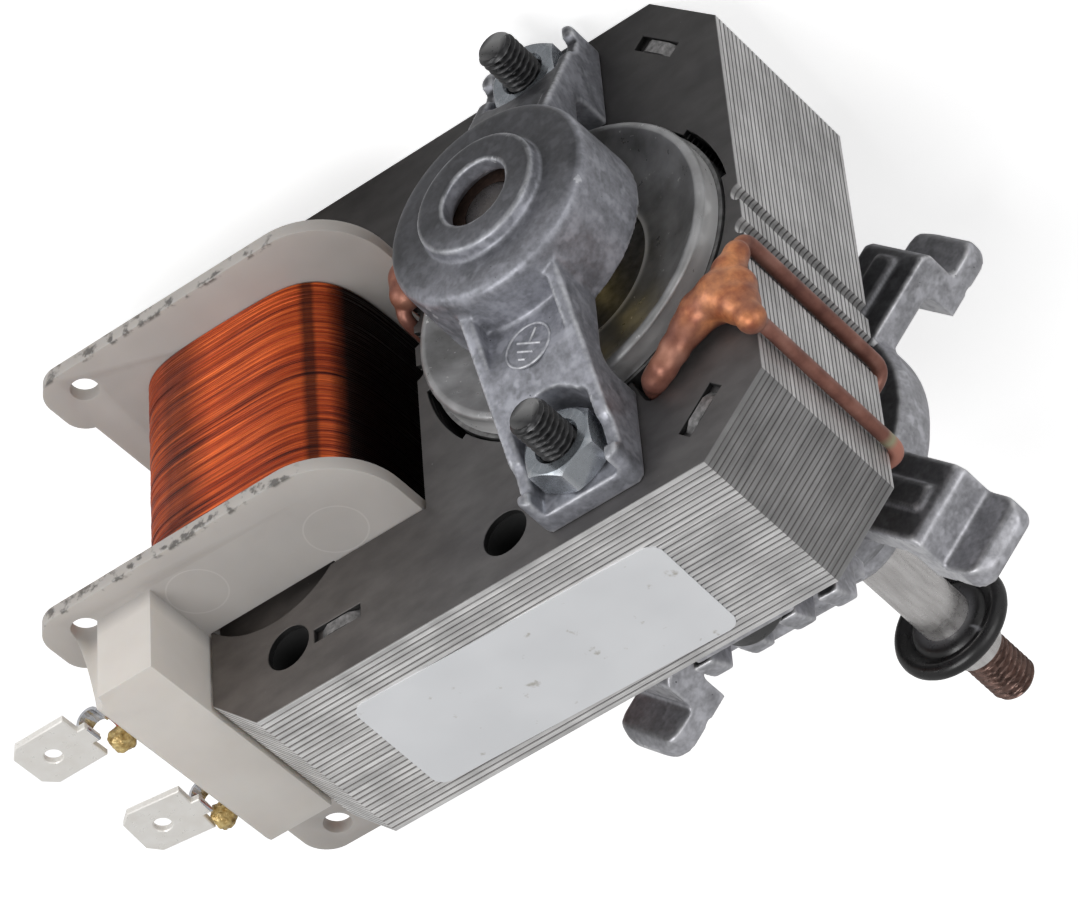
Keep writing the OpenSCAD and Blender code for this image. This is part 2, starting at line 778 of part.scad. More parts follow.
// A cast end ring: a rounded rim and a dished face that falls towards the shaft
module end_ring() {
    rim = ring_r - 1.1;
    turned(concat(
        [[hub_r, 0], [ring_r, 0], [ring_r, ring_h - 1]],
        arc(rim, ring_h - 1.1, 1.1, 0, 110, 5),
        [for (i = [1:5]) let (u = i / 5)
            [rim - 0.4 - (rim - 0.4 - hub_r) * u, 0.5 + (ring_h - 0.55) * (1 - u) * (1 - u)]]
    ));
}

module rotor_cage() {
    color("#9a9a9c") {
        translate([0, stack_back, 0]) end_ring();
        translate([0, stack_front, 0]) mirror([0, 1, 0]) end_ring();
        for (i = [0:bar_n - 1]) rotate([0, -i * 360 / bar_n, 0])
            rod(bar_r, stack_front - 0.2, stack_back + 0.2, bar_ring_r, 0);
    }
}

module shaft() {
    front = front_ball_y - bearing_half - 0.2;
    color("#b4b2ae") turned([
        [0, front], [shaft_r - 0.4, front], [shaft_r, front + 0.4], [shaft_r, shaft_out - thread_l],
        [thread_r, shaft_out - thread_l], [thread_r, shaft_out - 0.5], [thread_r - 0.5, shaft_out],
        [0, shaft_out]
    ]);
}

module sleeve(r, y0, y1) {
    difference() {
        rod(r, y0, y1);
        rod(shaft_r + shaft_gap, y0 - cut, y1 + cut);
    }
}

module flinger_disc() {
    color("#26262a") turned([
        [shaft_r + shaft_gap, disc_y], [spacer_r, disc_y], [spacer_r + 0.3, disc_y + 0.6],
        [disc_r - 1.6, disc_y + 0.6],
        [disc_r - 0.7, disc_y], [disc_r, disc_y + disc_t * 0.55], [disc_r - 0.3, disc_y + disc_t],
        [shaft_r + shaft_gap, disc_y + disc_t]
    ]);
}

// Spacers and washers that place the rotor between the bearings

module spacer_front() {
    color("#c9b27a") sleeve(spacer_r, washer_front_y + washer_t, stack_front);
}

module spacer_rear() {
    color("#c9b27a") sleeve(spacer_r, stack_back, washer_rear_y - washer_t);
}

module thrust_washer_front() {
    color("#6b4a2c") sleeve(washer_r, washer_front_y, washer_front_y + washer_t);
}

module thrust_washer_rear() {
    color("#6b4a2c") sleeve(washer_r, washer_rear_y - washer_t, washer_rear_y);
}

stator_stack();
coil_core();
bobbin();
coil_winding();
terminal(0);  // terminal_front
terminal(1);  // terminal_rear
lead(0);  // lead_front
lead(1);  // lead_rear
rating_label();
shading_ring_lower();
shading_ring_upper();
front_bracket();
bearing(front_ball_y);  // front_bearing
felt(front_ball_y, -1);  // front_felt
retainer(front_ball_y, -1);  // front_retainer
rear_bracket();
bearing(rear_ball_y);  // rear_bearing
felt(rear_ball_y, 1);  // rear_felt
retainer(rear_ball_y, 1);  // rear_retainer
mirror([0, 0, 1]) bolt();  // bolt_upper
bolt();  // bolt_lower
mirror([0, 0, 1]) nut();  // nut_upper
nut();  // nut_lower
rotor_core();
rotor_cage();
shaft();
spacer_front();
spacer_rear();
thrust_washer_front();
thrust_washer_rear();
flinger_disc();
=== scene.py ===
import json
import math
from contextlib import contextmanager

import bmesh
import bpy
from mathutils import Matrix, Vector, noise


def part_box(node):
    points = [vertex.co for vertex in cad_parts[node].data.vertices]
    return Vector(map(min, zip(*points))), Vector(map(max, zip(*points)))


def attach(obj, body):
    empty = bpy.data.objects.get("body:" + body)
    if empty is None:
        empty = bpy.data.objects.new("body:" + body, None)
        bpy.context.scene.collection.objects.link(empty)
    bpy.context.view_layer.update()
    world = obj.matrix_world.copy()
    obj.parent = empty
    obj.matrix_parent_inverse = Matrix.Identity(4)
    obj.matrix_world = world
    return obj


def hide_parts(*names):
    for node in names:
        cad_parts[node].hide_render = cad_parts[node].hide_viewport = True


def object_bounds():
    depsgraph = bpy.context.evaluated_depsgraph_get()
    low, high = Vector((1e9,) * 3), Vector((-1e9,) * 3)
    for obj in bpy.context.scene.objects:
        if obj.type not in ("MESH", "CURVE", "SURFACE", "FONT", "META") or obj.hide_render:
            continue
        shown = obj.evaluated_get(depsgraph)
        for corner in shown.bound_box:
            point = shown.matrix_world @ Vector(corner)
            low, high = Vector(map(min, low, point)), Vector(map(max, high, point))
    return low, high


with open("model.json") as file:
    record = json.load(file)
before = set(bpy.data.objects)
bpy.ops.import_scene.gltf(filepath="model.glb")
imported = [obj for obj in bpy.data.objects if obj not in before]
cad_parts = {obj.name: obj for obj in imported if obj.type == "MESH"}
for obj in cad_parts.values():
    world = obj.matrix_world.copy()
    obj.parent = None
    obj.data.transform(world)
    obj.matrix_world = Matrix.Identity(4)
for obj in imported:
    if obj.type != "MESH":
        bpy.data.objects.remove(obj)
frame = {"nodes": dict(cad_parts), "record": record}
CAD_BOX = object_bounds()

MM = 0.001
NODES = frame["nodes"]
SLOT_OF = {row["node"]: row["material_slot"] for row in frame["record"]["subparts"]}
REPLACED = set()


# Places and sizes that several pieces share, in millimetres

def box_mm(node):
    """The lowest and the highest corner of a solid."""
    return tuple(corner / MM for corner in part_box(node))


def centre_of(node):
    low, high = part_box(node)
    return (low + high) / 2 / MM


STACK_LOW, STACK_HIGH = box_mm("stator_stack")
CORE_LOW, CORE_HIGH = box_mm("coil_core")
WIND_LOW, WIND_HIGH = box_mm("coil_winding")
FRONT_Y = STACK_LOW.y
BACK_Y = STACK_HIGH.y
END_X = -STACK_LOW.x
HALF_H = STACK_HIGH.z
LAMINATIONS = 31
PITCH = (BACK_Y - FRONT_Y) / LAMINATIONS

# Thickness and bevel of a sheet; the gap to the next one shows as a dark line
FRONT_SHEET = (PITCH * 0.94, 0.05)
INNER_SHEET = (PITCH * 0.90, 0.07)

# The core sits some sheets deeper than the stack's front
CORE_SINK = 2
CORE_R = 9.5
SOCKET_R = 9.52

# The slot that a shading ring's leg runs through, as its place round the bore in degrees
BORE_R = 17.0
SLOT_TURN = 111.4
SLOT_HALF = 1.3
SLOT_END = BORE_R + 4.2 - SLOT_HALF

BOLT_Z = centre_of("bolt_lower").z
BOLT_R = 2.0
HOLE_R = 2.4
ROUND_HOLES = [(x, side * z) for x, z in ((34.9, 23.7), (10.0, 25.2)) for side in (-1, 1)]
INTERLOCKS = [(29.2, 24.2, 0), (29.2, -24.2, 0), (-11.7, 24.2, 45), (-11.7, -24.2, -45)]

TAB_WIDTH = 6.3
TAB_LENGTH = 7.0
TAB_THICK = 0.8
TAB_CORNER = 1.2
NECK_WIDTH = 2.2
NECK_LENGTH = 0.9

# Brazed lumps of the shading rings: x, height over the front, z and radius
LOWER_LUMPS = [
    (-16.4, 1.9, 14.7, 2.5), (-14.1, 1.8, 14.9, 2.1), (-18.1, 1.7, 16.6, 2.1), (-18.2, 1.6, 14.4, 1.9),
    (-19.0, 1.5, 18.9, 1.6), (-17.5, 1.7, 12.1, 1.8), (-18.4, 1.5, 10.2, 1.4), (-12.5, 1.8, 16.0, 1.75),
    (-10.9, 1.7, 17.4, 1.6), (-9.4, 1.5, 18.6, 1.5), (-8.0, 0.9, 18.8, 1.4)
]
UPPER_LUMPS = [(16.0, 1.95, -13.6, 2.1), (17.6, 1.8, -11.6, 1.9), (17.9, 1.7, -9.6, 1.7)]


# Camera and light

def set_camera():
    """The photograph's view, from its pinhole camera's place and axes."""
    place_mm = Vector((-185.68, -318.0, 354.34))
    right = Vector((-0.78822, 0.61215, 0.06313))
    up = Vector((-0.46780, -0.52936, -0.70777))
    back = Vector((-0.39984, -0.58741, 0.70361))
    data = bpy.data.cameras.new("camera")
    data.sensor_width = 36
    data.lens = 178.45
    camera = bpy.data.objects.new("camera", data)
    pose = Matrix((right, up, back)).transposed().to_4x4()
    pose.translation = place_mm * MM
    camera.matrix_world = pose
    bpy.context.scene.collection.objects.link(camera)
    bpy.context.scene.camera = camera


# Each lamp's place and size in metres, and its power in watts
LAMPS = {
    "key": ((0.15, -0.45, 0.75), 0.55, 3.5),
    "side": ((0.55, -0.65, 0.15), 0.5, 1.9),
    "fill": ((-0.6, -0.2, 0.35), 0.6, 1.4)
}
LAMP_TARGET = (0.01, -0.02, 0)


def area_light(name, place, size, power):
    data = bpy.data.lights.new(name, "AREA")
    data.shape = "DISK"
    data.size = size
    data.energy = power
    lamp = bpy.data.objects.new(name, data)
    lamp.location = place
    aim = Vector(LAMP_TARGET) - Vector(place)
    lamp.rotation_euler = aim.to_track_quat("-Z", "Y").to_euler()
    bpy.context.scene.collection.objects.link(lamp)


def seen_directly(nodes, links):
    """1 for camera and transmission rays, which see the white background."""
    path = nodes.new("ShaderNodeLightPath")
    either = nodes.new("ShaderNodeMath")
    either.operation = "MAXIMUM"
    links.new(path.outputs["Is Camera Ray"], either.inputs[0])
    links.new(path.outputs["Is Transmission Ray"], either.inputs[1])
    return either.outputs[0]


def plain_background(nodes, strength):
    node = nodes.new("ShaderNodeBackground")
    node.inputs["Color"].default_value = (1, 1, 1, 1)
    node.inputs["Strength"].default_value = strength
    return node


def choose_shader(nodes, links, otherwise, direct, out_kind):
    """Shows one shader to direct rays and the other to all others."""
    mix = nodes.new("ShaderNodeMixShader")
    out = nodes.new(out_kind)
    links.new(seen_directly(nodes, links), mix.inputs[0])
    links.new(otherwise, mix.inputs[1])
    links.new(direct, mix.inputs[2])
    links.new(mix.outputs[0], out.inputs[0])


def set_world():
    """White where it is seen; reflections see it brighter than the soft light that it gives."""
    soft_level = 0.21
    glossy_extra = 0.27
    world = bpy.data.worlds.new("world")
    world.use_nodes = True
    nodes, links = world.node_tree.nodes, world.node_tree.links
    nodes.clear()
    dim = plain_background(nodes, soft_level)
    path = nodes.new("ShaderNodeLightPath")
    level = nodes.new("ShaderNodeMath")
    level.operation = "MULTIPLY_ADD"
    level.inputs[1].default_value = glossy_extra
    level.inputs[2].default_value = soft_level
    links.new(path.outputs["Is Glossy Ray"], level.inputs[0])
    links.new(level.outputs[0], dim.inputs["Strength"])
    white = plain_background(nodes, 1.0)
    choose_shader(nodes, links, dim.outputs[0], white.outputs[0], "ShaderNodeOutputWorld")
    bpy.context.scene.world = world


def floor_material():
    """A white that takes shadows; seen directly it glows up to the background's white."""
    grey = 0.85
    glow_level = 0.62
    mat = bpy.data.materials.new("floor_white")
    mat.use_nodes = True
    nodes, links = mat.node_tree.nodes, mat.node_tree.links
    nodes.clear()
    plain = nodes.new("ShaderNodeBsdfDiffuse")
    plain.inputs["Color"].default_value = (grey, grey, grey, 1)
    glow = nodes.new("ShaderNodeEmission")
    glow.inputs["Color"].default_value = (1, 1, 1, 1)
    glow.inputs["Strength"].default_value = glow_level
    add = nodes.new("ShaderNodeAddShader")
    links.new(plain.outputs[0], add.inputs[0])
    links.new(glow.outputs[0], add.inputs[1])
    choose_shader(nodes, links, plain.outputs[0], add.outputs[0], "ShaderNodeOutputMaterial")
    return mat


def make_floor():
    gap = 0.0003
    half = 3.0
    level = CAD_BOX[0].z - gap
    mesh = bpy.data.meshes.new("floor")
    corners = [(-half, -half, level), (half, -half, level), (half, half, level), (-half, half, level)]
    mesh.from_pydata(corners, [], [(0, 1, 2, 3)])
    mesh.materials.append(floor_material())
    floor = bpy.data.objects.new("floor", mesh)
    bpy.context.scene.collection.objects.link(floor)


# Materials

class Shader:
    """A procedural material built from a few noise layers in the part's own frame."""

    def __init__(self, name, metallic=0.0, rough=0.5):
        self.mat = bpy.data.materials.new(name)
        self.mat.use_nodes = True
        self.nodes = self.mat.node_tree.nodes
        self.links = self.mat.node_tree.links
        self.bsdf = self.nodes["Principled BSDF"]
        self.bsdf.inputs["Metallic"].default_value = metallic
        self.bsdf.inputs["Roughness"].default_value = rough
        self.coord = self.nodes.new("ShaderNodeTexCoord").outputs["Object"]

    def set(self, socket, value):
        self.bsdf.inputs[socket].default_value = value

    def noise(self, size_mm, detail=4, stretch=(1, 1, 1)):
        """Noise whose features are about size_mm across; a larger stretch squeezes that axis."""
        roughness = 0.55
        mapping = self.nodes.new("ShaderNodeMapping")
        mapping.inputs["Scale"].default_value = stretch
        self.links.new(self.coord, mapping.inputs["Vector"])
        tex = self.nodes.new("ShaderNodeTexNoise")
        tex.inputs["Scale"].default_value = 1.0 / (size_mm * MM)
        tex.inputs["Detail"].default_value = detail
        tex.inputs["Roughness"].default_value = roughness
        self.links.new(mapping.outputs[0], tex.inputs["Vector"])
        return tex.outputs["Fac"]

    def ramp(self, value, stops):
        """Colour ramp; stops are (place, (r, g, b)) or (place, grey)."""
        node = self.nodes.new("ShaderNodeValToRGB")
        elements = node.color_ramp.elements
        while len(elements) < len(stops):
            elements.new(0.5)
        for element, (place, colour) in zip(elements, stops):
            rgb = colour if isinstance(colour, tuple) else (colour,) * 3
            element.position = place
            element.color = (*rgb, 1)
        self.links.new(value, node.inputs[0])
        return node.outputs[0]

    def patches(self, size_mm, dark, light, detail=4, low=0.3, high=0.7, stretch=(1, 1, 1)):
        """Noise as a run from one colour or grey to another."""
        return self.ramp(self.noise(size_mm, detail, stretch), [(low, dark), (high, light)])

    def mix(self, factor, a, b, kind="MIX"):
        node = self.nodes.new("ShaderNodeMix")
        node.data_type = "RGBA"
        node.blend_type = kind
        for socket, value in zip((node.inputs[0], node.inputs[6], node.inputs[7]), (factor, a, b)):
            if isinstance(value, bpy.types.NodeSocket):
                self.links.new(value, socket)
            elif isinstance(value, tuple):
                socket.default_value = (*value, 1)
            else:
                socket.default_value = value
        return node.outputs[2]

    def maths(self, operation, a, b=0.0):
        node = self.nodes.new("ShaderNodeMath")
        node.operation = operation
        for socket, value in zip(node.inputs, (a, b)):
            if isinstance(value, bpy.types.NodeSocket):
                self.links.new(value, socket)
            else:
                socket.default_value = value
        return node.outputs[0]

    def product(self, first, *others):
        for value in others:
            first = self.maths("MULTIPLY", first, value)
        return first

    def largest(self, first, *others):
        for value in others:
            first = self.maths("MAXIMUM", first, value)
        return first

    def length_of(self, a, b):
        """Length of a flat vector that has the shares a and b."""
        return self.maths("SQRT", self.maths("ADD", self.product(a, a), self.product(b, b)))

    def normal(self, axis):
        """The surface normal's share along one axis, -1 to 1."""
        geometry = self.nodes.new("ShaderNodeNewGeometry")
        split = self.nodes.new("ShaderNodeSeparateXYZ")
        self.links.new(geometry.outputs["Normal"], split.inputs[0])
        return split.outputs[axis]

    def place_axis(self, axis):
        split = self.nodes.new("ShaderNodeSeparateXYZ")
        self.links.new(self.coord, split.inputs[0])
        return split.outputs[axis]

    def along(self, axis, start_mm, end_mm):
        """0 at one place on an axis and 1 at another."""
        span = self.nodes.new("ShaderNodeMapRange")
        span.inputs["From Min"].default_value = start_mm * MM
        span.inputs["From Max"].default_value = end_mm * MM
        self.links.new(self.place_axis(axis), span.inputs["Value"])
        return span.outputs[0]

    def times(self, colour, factor):
        return self.mix(1.0, colour, factor, "MULTIPLY")

    def front_shade(self, colour, dark, light, start_mm, end_mm, axis=2):
        """Paints shade on what looks to the front; the painted shade lifts along one axis."""
        front = self.ramp(self.product(self.normal(1), -1.0), [(0.5, 0.0), (0.9, 1.0)])
        level = self.ramp(self.along(axis, start_mm, end_mm), [(0.0, dark), (1.0, light)])
        return self.times(colour, self.mix(front, (1.0, 1.0, 1.0), level))

    def ring_mark(self, x_mm, y_mm, radius_mm):
        """1 on a thin circle round an axis that stands along Z."""
        width_mm = 0.16
        dx = self.maths("SUBTRACT", self.place_axis(0), x_mm * MM)
        dy = self.maths("SUBTRACT", self.place_axis(1), y_mm * MM)
        off = self.maths("ABSOLUTE", self.maths("SUBTRACT", self.length_of(dx, dy), radius_mm * MM))
        return self.maths("LESS_THAN", off, width_mm / 2 * MM)

    def way_round_z(self):
        """Where a wall that stands along Z looks: 0 for -x, 0.5 for y and 1 for +x."""
        nx, ny = self.normal(0), self.normal(1)
        half = self.product(self.maths("DIVIDE", nx, self.length_of(nx, ny)), 0.5)
        return self.maths("ADD", half, 0.5)

    def edges(self, low, high):
        """1 on convex edges, for worn edges and painted highlights."""
        geometry = self.nodes.new("ShaderNodeNewGeometry")
        return self.ramp(geometry.outputs["Pointiness"], [(low, 0.0), (high, 1.0)])

    def colour(self, value):
        self.links.new(value, self.bsdf.inputs["Base Color"])

    def metallic(self, value):
        self.links.new(value, self.bsdf.inputs["Metallic"])

    def roughness(self, value):
        self.links.new(value, self.bsdf.inputs["Roughness"])

    def bump(self, height, strength, distance_mm):
        node = self.nodes.new("ShaderNodeBump")
        node.inputs["Strength"].default_value = strength
        node.inputs["Distance"].default_value = distance_mm * MM
        self.links.new(height, node.inputs["Height"])
        self.links.new(node.outputs[0], self.bsdf.inputs["Normal"])


def outer_walls(s):
    """Above 0 on the stack's outer walls, and below 0 inside its bore, window and holes."""
    top_from, end_from = 28.6, 16.2
    near_corner_from, far_corner_from = 39, 66
    left = s.product(s.place_axis(0), -1.0)
    up = s.maths("ABSOLUTE", s.place_axis(2))
    walls = [(up, top_from), (left, end_from), (s.maths("ADD", left, up), near_corner_from),
             (s.maths("SUBTRACT", up, left), far_corner_from)]
    return s.largest(*[s.maths("SUBTRACT", place, start * MM) for place, start in walls])


def lamination_material():
    s = Shader("lamination_steel", metallic=0.55, rough=0.42)
    face = s.patches(9, (0.062, 0.059, 0.060), (0.080, 0.077, 0.076), 3)
    face = s.mix(s.along(0, 14, 46), face, (0.088, 0.077, 0.070))
    face = s.times(face, s.patches(2.2, 0.82, 1.12, 5, 0.35, 0.65, stretch=(0.5, 1, 1)))
    specks = s.patches(0.4, 0.0, 1.0, 2, 0.75, 0.8)
    face = s.mix(specks, face, (0.20, 0.20, 0.21))
    # Painted shade on the front face, which lifts to a painted sheen towards the label side
    face = s.front_shade(face, 0.78, 1.7, -12, 27)
    # The sheets' edges are bright, and brighter towards the winding
    edge = s.ramp(s.along(0, -20, 44), [(0.0, (0.80, 0.79, 0.79)), (1.0, (0.95, 0.94, 0.93))])
    edge = s.times(edge, s.patches(0.5, 0.74, 1.0, 2, 0.35, 0.62, stretch=(0.02, 1, 0.02)))
    edge = s.times(edge, s.patches(5, 0.72, 1.0, 5, 0.35, 0.6))
    # The sawn-off corner of the label side is dull
    corner = s.product(s.normal(0), -1.0, s.normal(2))
    edge = s.times(edge, s.ramp(corner, [(0.2, 1.0), (0.45, 0.42)]))
    # Painted shade: inside the bore, the window and the holes the edges are painted dark
    outside = s.maths("GREATER_THAN", outer_walls(s), 0.0)
    edge = s.times(edge, s.mix(outside, (0.03, 0.03, 0.03), (1.0, 1.0, 1.0)))
    is_face = s.ramp(s.maths("ABSOLUTE", s.normal(1)), [(0.35, 0.0), (0.8, 1.0)])
    s.colour(s.mix(is_face, edge, face))
    s.metallic(s.ramp(is_face, [(0.0, 0.3), (1.0, 0.55)]))
    s.roughness(s.patches(2.5, 0.38, 0.52))
    s.bump(s.noise(0.6, 3), 0.12, 0.03)
    return s.mat


def die_cast_material(name, dark, light, edge_colour, shade):
    """Bare casting; shade holds what front_shade takes for the painted shade of its front faces."""
    s = Shader(name, metallic=0.5, rough=0.45)
    body = s.times(s.patches(2.6, dark, light, 6), s.patches(0.55, 0.84, 1.12, 3, 0.35, 0.65))
    blotch = s.patches(1.5, 0.0, 0.55, 2, 0.52, 0.66)
    body = s.mix(blotch, body, tuple(1.35 * c for c in light))
    # Painted shade on the faces that look to the front
    body = s.front_shade(body, *shade)
    pits = s.patches(0.45, 0.9, 0.0, 2, 0.22, 0.26)
    body = s.mix(pits, body, (0.03, 0.03, 0.035))
    # Worn edges, lightened further by a painted glint
    edge_wear_and_glint = s.product(s.edges(0.515, 0.56), s.patches(1.2, 0.2, 0.9, 3, 0.35, 0.6))
    s.colour(s.mix(edge_wear_and_glint, body, edge_colour))
    s.roughness(s.patches(1.3, 0.34, 0.52))
    s.bump(s.noise(0.5, 4), 0.25, 0.04)
    return s.mat


def plastic_material():
    s = Shader("bobbin_plastic", rough=0.42)
    flange = s.patches(12, (0.43, 0.405, 0.385), (0.50, 0.475, 0.45), 3)
    block = s.patches(9, (0.66, 0.615, 0.57), (0.74, 0.70, 0.655), 3)
    body = s.mix(s.along(2, 16.6, 18.5), flange, block)
    # Faint circles that the ejector pins left on the flange
    marks = s.maths("ADD", s.ring_mark(41.1, -42.4, 2.9), s.ring_mark(26.4, -40.3, 3.0))
    marks = s.product(marks, s.ramp(s.along(2, 13, 15), [(0.4, 0.0), (0.6, 0.2)]))
    body = s.mix(marks, body, (0.76, 0.74, 0.72))
    # Black smudges along the front rim of the flanges
    soil = s.product(s.along(1, -48.0, -48.3), s.patches(1.3, 0.0, 0.85, 4, 0.52, 0.62))
    smudge = s.patches(5, 0.0, 0.1, 5, 0.6, 0.85)
    s.colour(s.mix(s.largest(soil, smudge), body, (0.08, 0.075, 0.07)))
    s.set("Subsurface Weight", 0.2)
    s.set("Subsurface Radius", (0.004, 0.003, 0.002))
    s.set("Subsurface Scale", 1.0)
    s.bump(s.noise(1.8, 3), 0.15, 0.03)
    return s.mat


def wire_material():
    s = Shader("magnet_wire", metallic=0.5, rough=0.36)
    turns = s.noise(0.62, 3, stretch=(0.035, 0.035, 1.7))
    reds = [(0.3, (0.07, 0.006, 0.002)), (0.46, (0.40, 0.048, 0.009)), (0.7, (0.84, 0.16, 0.032))]
    body = s.ramp(turns, reds)
    body = s.times(body, s.patches(7, 0.78, 1.0, 3))
    # Painted shade: the side in the window is painted nearly black, and the bend before it gets a painted
    # dark reflection band
    shade_bands = [(0.0, 0.012), (0.03, 0.02), (0.045, 0.25), (0.07, 0.6), (0.1, 1.0), (0.17, 1.0), (0.2, 0.3),
             (0.26, 0.26), (0.31, 1.0), (0.5, 1.0)]
    body = s.times(body, s.ramp(s.way_round_z(), shade_bands))
    # Painted shade in a band on the winding's +x part
    far_side_shade = [(0.0, 1.0), (0.36, 0.38), (0.6, 0.34), (0.95, 1.0)]
    s.colour(s.times(body, s.ramp(s.along(0, 38, 47), far_side_shade)))
    s.set("Specular IOR Level", 0.25)
    s.set("Coat Weight", 0.05)
    s.set("Coat Roughness", 0.25)
    s.roughness(s.patches(1.2, 0.3, 0.45, 3))
    return s.mat


def copper_material():
    s = Shader("brazed_copper", metallic=0.45, rough=0.4)
    browns = [(0.3, (0.15, 0.055, 0.042)), (0.5, (0.27, 0.115, 0.085)), (0.72, (0.40, 0.20, 0.155))]
    body = s.ramp(s.noise(3.2, 5), browns)
    # The brazed joint in front is orange-gold
    near_joint = s.ramp(s.along(0, -14.5, -11.5), [(0.0, 1.0), (1.0, 0.15)])
    glow = s.product(s.patches(3.4, 0.35, 1.0, 4, 0.36, 0.56), s.along(1, -37.6, -39.0), near_joint)
    gold = s.patches(1.6, (0.36, 0.11, 0.05), (0.74, 0.30, 0.12), 4, 0.35, 0.65)
    body = s.mix(glow, body, gold)
    # The near strand's far end is greenish, then pink
    near_strand = s.ramp(s.along(2, 17, 18), [(0.0, 0.0), (1.0, 0.8)])
    tip = s.product(s.along(1, -19.5, -18.6), near_strand)
    tip_colour = s.ramp(s.along(1, -18.8, -17.4), [(0.2, (0.40, 0.42, 0.27)), (0.7, (0.62, 0.27, 0.20))])
    s.colour(s.mix(tip, body, tip_colour))
    s.roughness(s.patches(1.5, 0.34, 0.48))
    s.bump(s.noise(1.3, 4), 0.2, 0.04)
    return s.mat


def simple_material(name, dark, light, metallic, rough, size_mm, edge_wear_and_glint=None):
    """Clouds between two colours; rough is a range, and edge_wear_and_glint the colour of worn edges with a
    painted glint.
    """
    s = Shader(name, metallic=metallic)
    body = s.patches(size_mm, dark, light)
    # Worn edges, lightened further by a painted glint
    if edge_wear_and_glint:
        body = s.mix(s.edges(0.54, 0.62), body, edge_wear_and_glint)
    s.colour(body)
    s.roughness(s.patches(size_mm * 0.6, *rough))
    s.bump(s.noise(size_mm * 0.3, 3), 0.15, 0.03)
    return s.mat


def shaft_material():
    s = Shader("shaft_steel", metallic=0.75, rough=0.3)
    ground = s.patches(0.8, (0.56, 0.54, 0.53), (0.82, 0.80, 0.79), stretch=(1, 0.15, 1))
    rust = s.patches(1.0, (0.10, 0.065, 0.055), (0.24, 0.15, 0.125))
    ends = s.mix(s.along(1, 28.0, 28.6), ground, rust)
    s.colour(s.mix(s.along(1, -49.5, -49.8), ends, (0.11, 0.10, 0.095)))
    s.roughness(s.patches(0.5, 0.22, 0.4, 3))
    return s.mat


def cage_material():
    s = Shader("cast_cage", metallic=0.6, rough=0.35)
    body = s.patches(4, (0.14, 0.14, 0.14), (0.36, 0.36, 0.37), 5)
    smear = s.patches(0.7, 0.0, 1.0, 3, 0.68, 0.74)
    body = s.mix(smear, body, (0.6, 0.6, 0.6))
    # Painted highlight on the rounded rims and edges
    s.colour(s.mix(s.product(s.edges(0.51, 0.56), 0.8), body, (0.9, 0.9, 0.9)))
    s.roughness(s.patches(1.5, 0.26, 0.45))
    s.bump(s.noise(1.2, 4), 0.25, 0.05)
    return s.mat


def label_material():
    s = Shader("label_film", rough=0.45)
    body = s.patches(8, (0.76, 0.77, 0.79), (0.82, 0.83, 0.85), 2)
    flecks = s.patches(1.8, 0.0, 0.7, 3, 0.66, 0.74)
    s.colour(s.mix(flecks, body, (0.36, 0.33, 0.27)))
    s.bump(s.noise(3, 2), 0.1, 0.02)
    return s.mat


# Dark and light colour, metallic share, range of roughness, size of the clouds, and worn edges with a painted
# glint
SIMPLE = {
    "tinned_brass": ((0.90, 0.87, 0.82), (0.97, 0.95, 0.91), 0.25, (0.25, 0.4), 1.5),
    "bright_strip": ((0.50, 0.51, 0.54), (0.80, 0.81, 0.84), 0.95, (0.08, 0.18), 1.0),
    "painted_hole_shade": ((0.004, 0.004, 0.004), (0.008, 0.008, 0.008), 0.0, (0.8, 0.9), 2.0),
    "interlock": ((0.10, 0.10, 0.10), (0.34, 0.33, 0.33), 0.4, (0.3, 0.45), 0.6),
    "solder_flux": ((0.30, 0.17, 0.03), (0.80, 0.62, 0.28), 0.3, (0.15, 0.3), 0.6),
    "sintered_bronze": ((0.035, 0.022, 0.018), (0.09, 0.055, 0.04), 0.7, (0.35, 0.5), 0.5),
    "oil_felt": ((0.38, 0.34, 0.26), (0.55, 0.50, 0.40), 0.0, (0.8, 0.95), 0.4),
    "yellow_zinc": ((0.45, 0.30, 0.06), (0.75, 0.55, 0.18), 0.85, (0.2, 0.32), 1.0),
    "black_bolt": ((0.012, 0.012, 0.013), (0.04, 0.04, 0.042), 0.5, (0.25, 0.4), 0.8, (0.22, 0.22, 0.22)),
    "zinc_nut": ((0.11, 0.13, 0.15), (0.21, 0.24, 0.27), 0.8, (0.2, 0.34), 1.2, (0.7, 0.72, 0.75)),
    "rotor_steel": ((0.10, 0.10, 0.10), (0.22, 0.22, 0.22), 0.7, (0.3, 0.45), 1.0),
    "spacer_brass": ((0.42, 0.32, 0.10), (0.66, 0.52, 0.22), 0.85, (0.2, 0.32), 1.0),
    "washer_fibre": ((0.14, 0.07, 0.03), (0.26, 0.14, 0.07), 0.0, (0.6, 0.8), 0.5),
    "flinger_black": ((0.006, 0.006, 0.006), (0.018, 0.017, 0.018), 0.0, (0.22, 0.4), 2.0, (0.14, 0.14, 0.15))
}


def make_materials():
    mats = {name: simple_material(name, *values) for name, values in SIMPLE.items()}
    mats["lamination_steel"] = lamination_material()
    mats["die_cast_zinc"] = die_cast_material(
        "die_cast_zinc", (0.18, 0.185, 0.205), (0.34, 0.345, 0.385), (0.70, 0.71, 0.74), (0.2, 1.0, 1, 13))
    mats["die_cast_dark"] = die_cast_material(
        "die_cast_dark", (0.32, 0.32, 0.34), (0.56, 0.56, 0.60), (0.80, 0.80, 0.82), (0.12, 0.5, -9, -3, 1))
    mats["bobbin_plastic"] = plastic_material()
    mats["magnet_wire"] = wire_material()
    mats["brazed_copper"] = copper_material()
    mats["cast_cage"] = cage_material()
    mats["shaft_steel"] = shaft_material()
    mats["label_film"] = label_material()
    return mats


# Mesh helpers; all sizes that they take are in millimetres

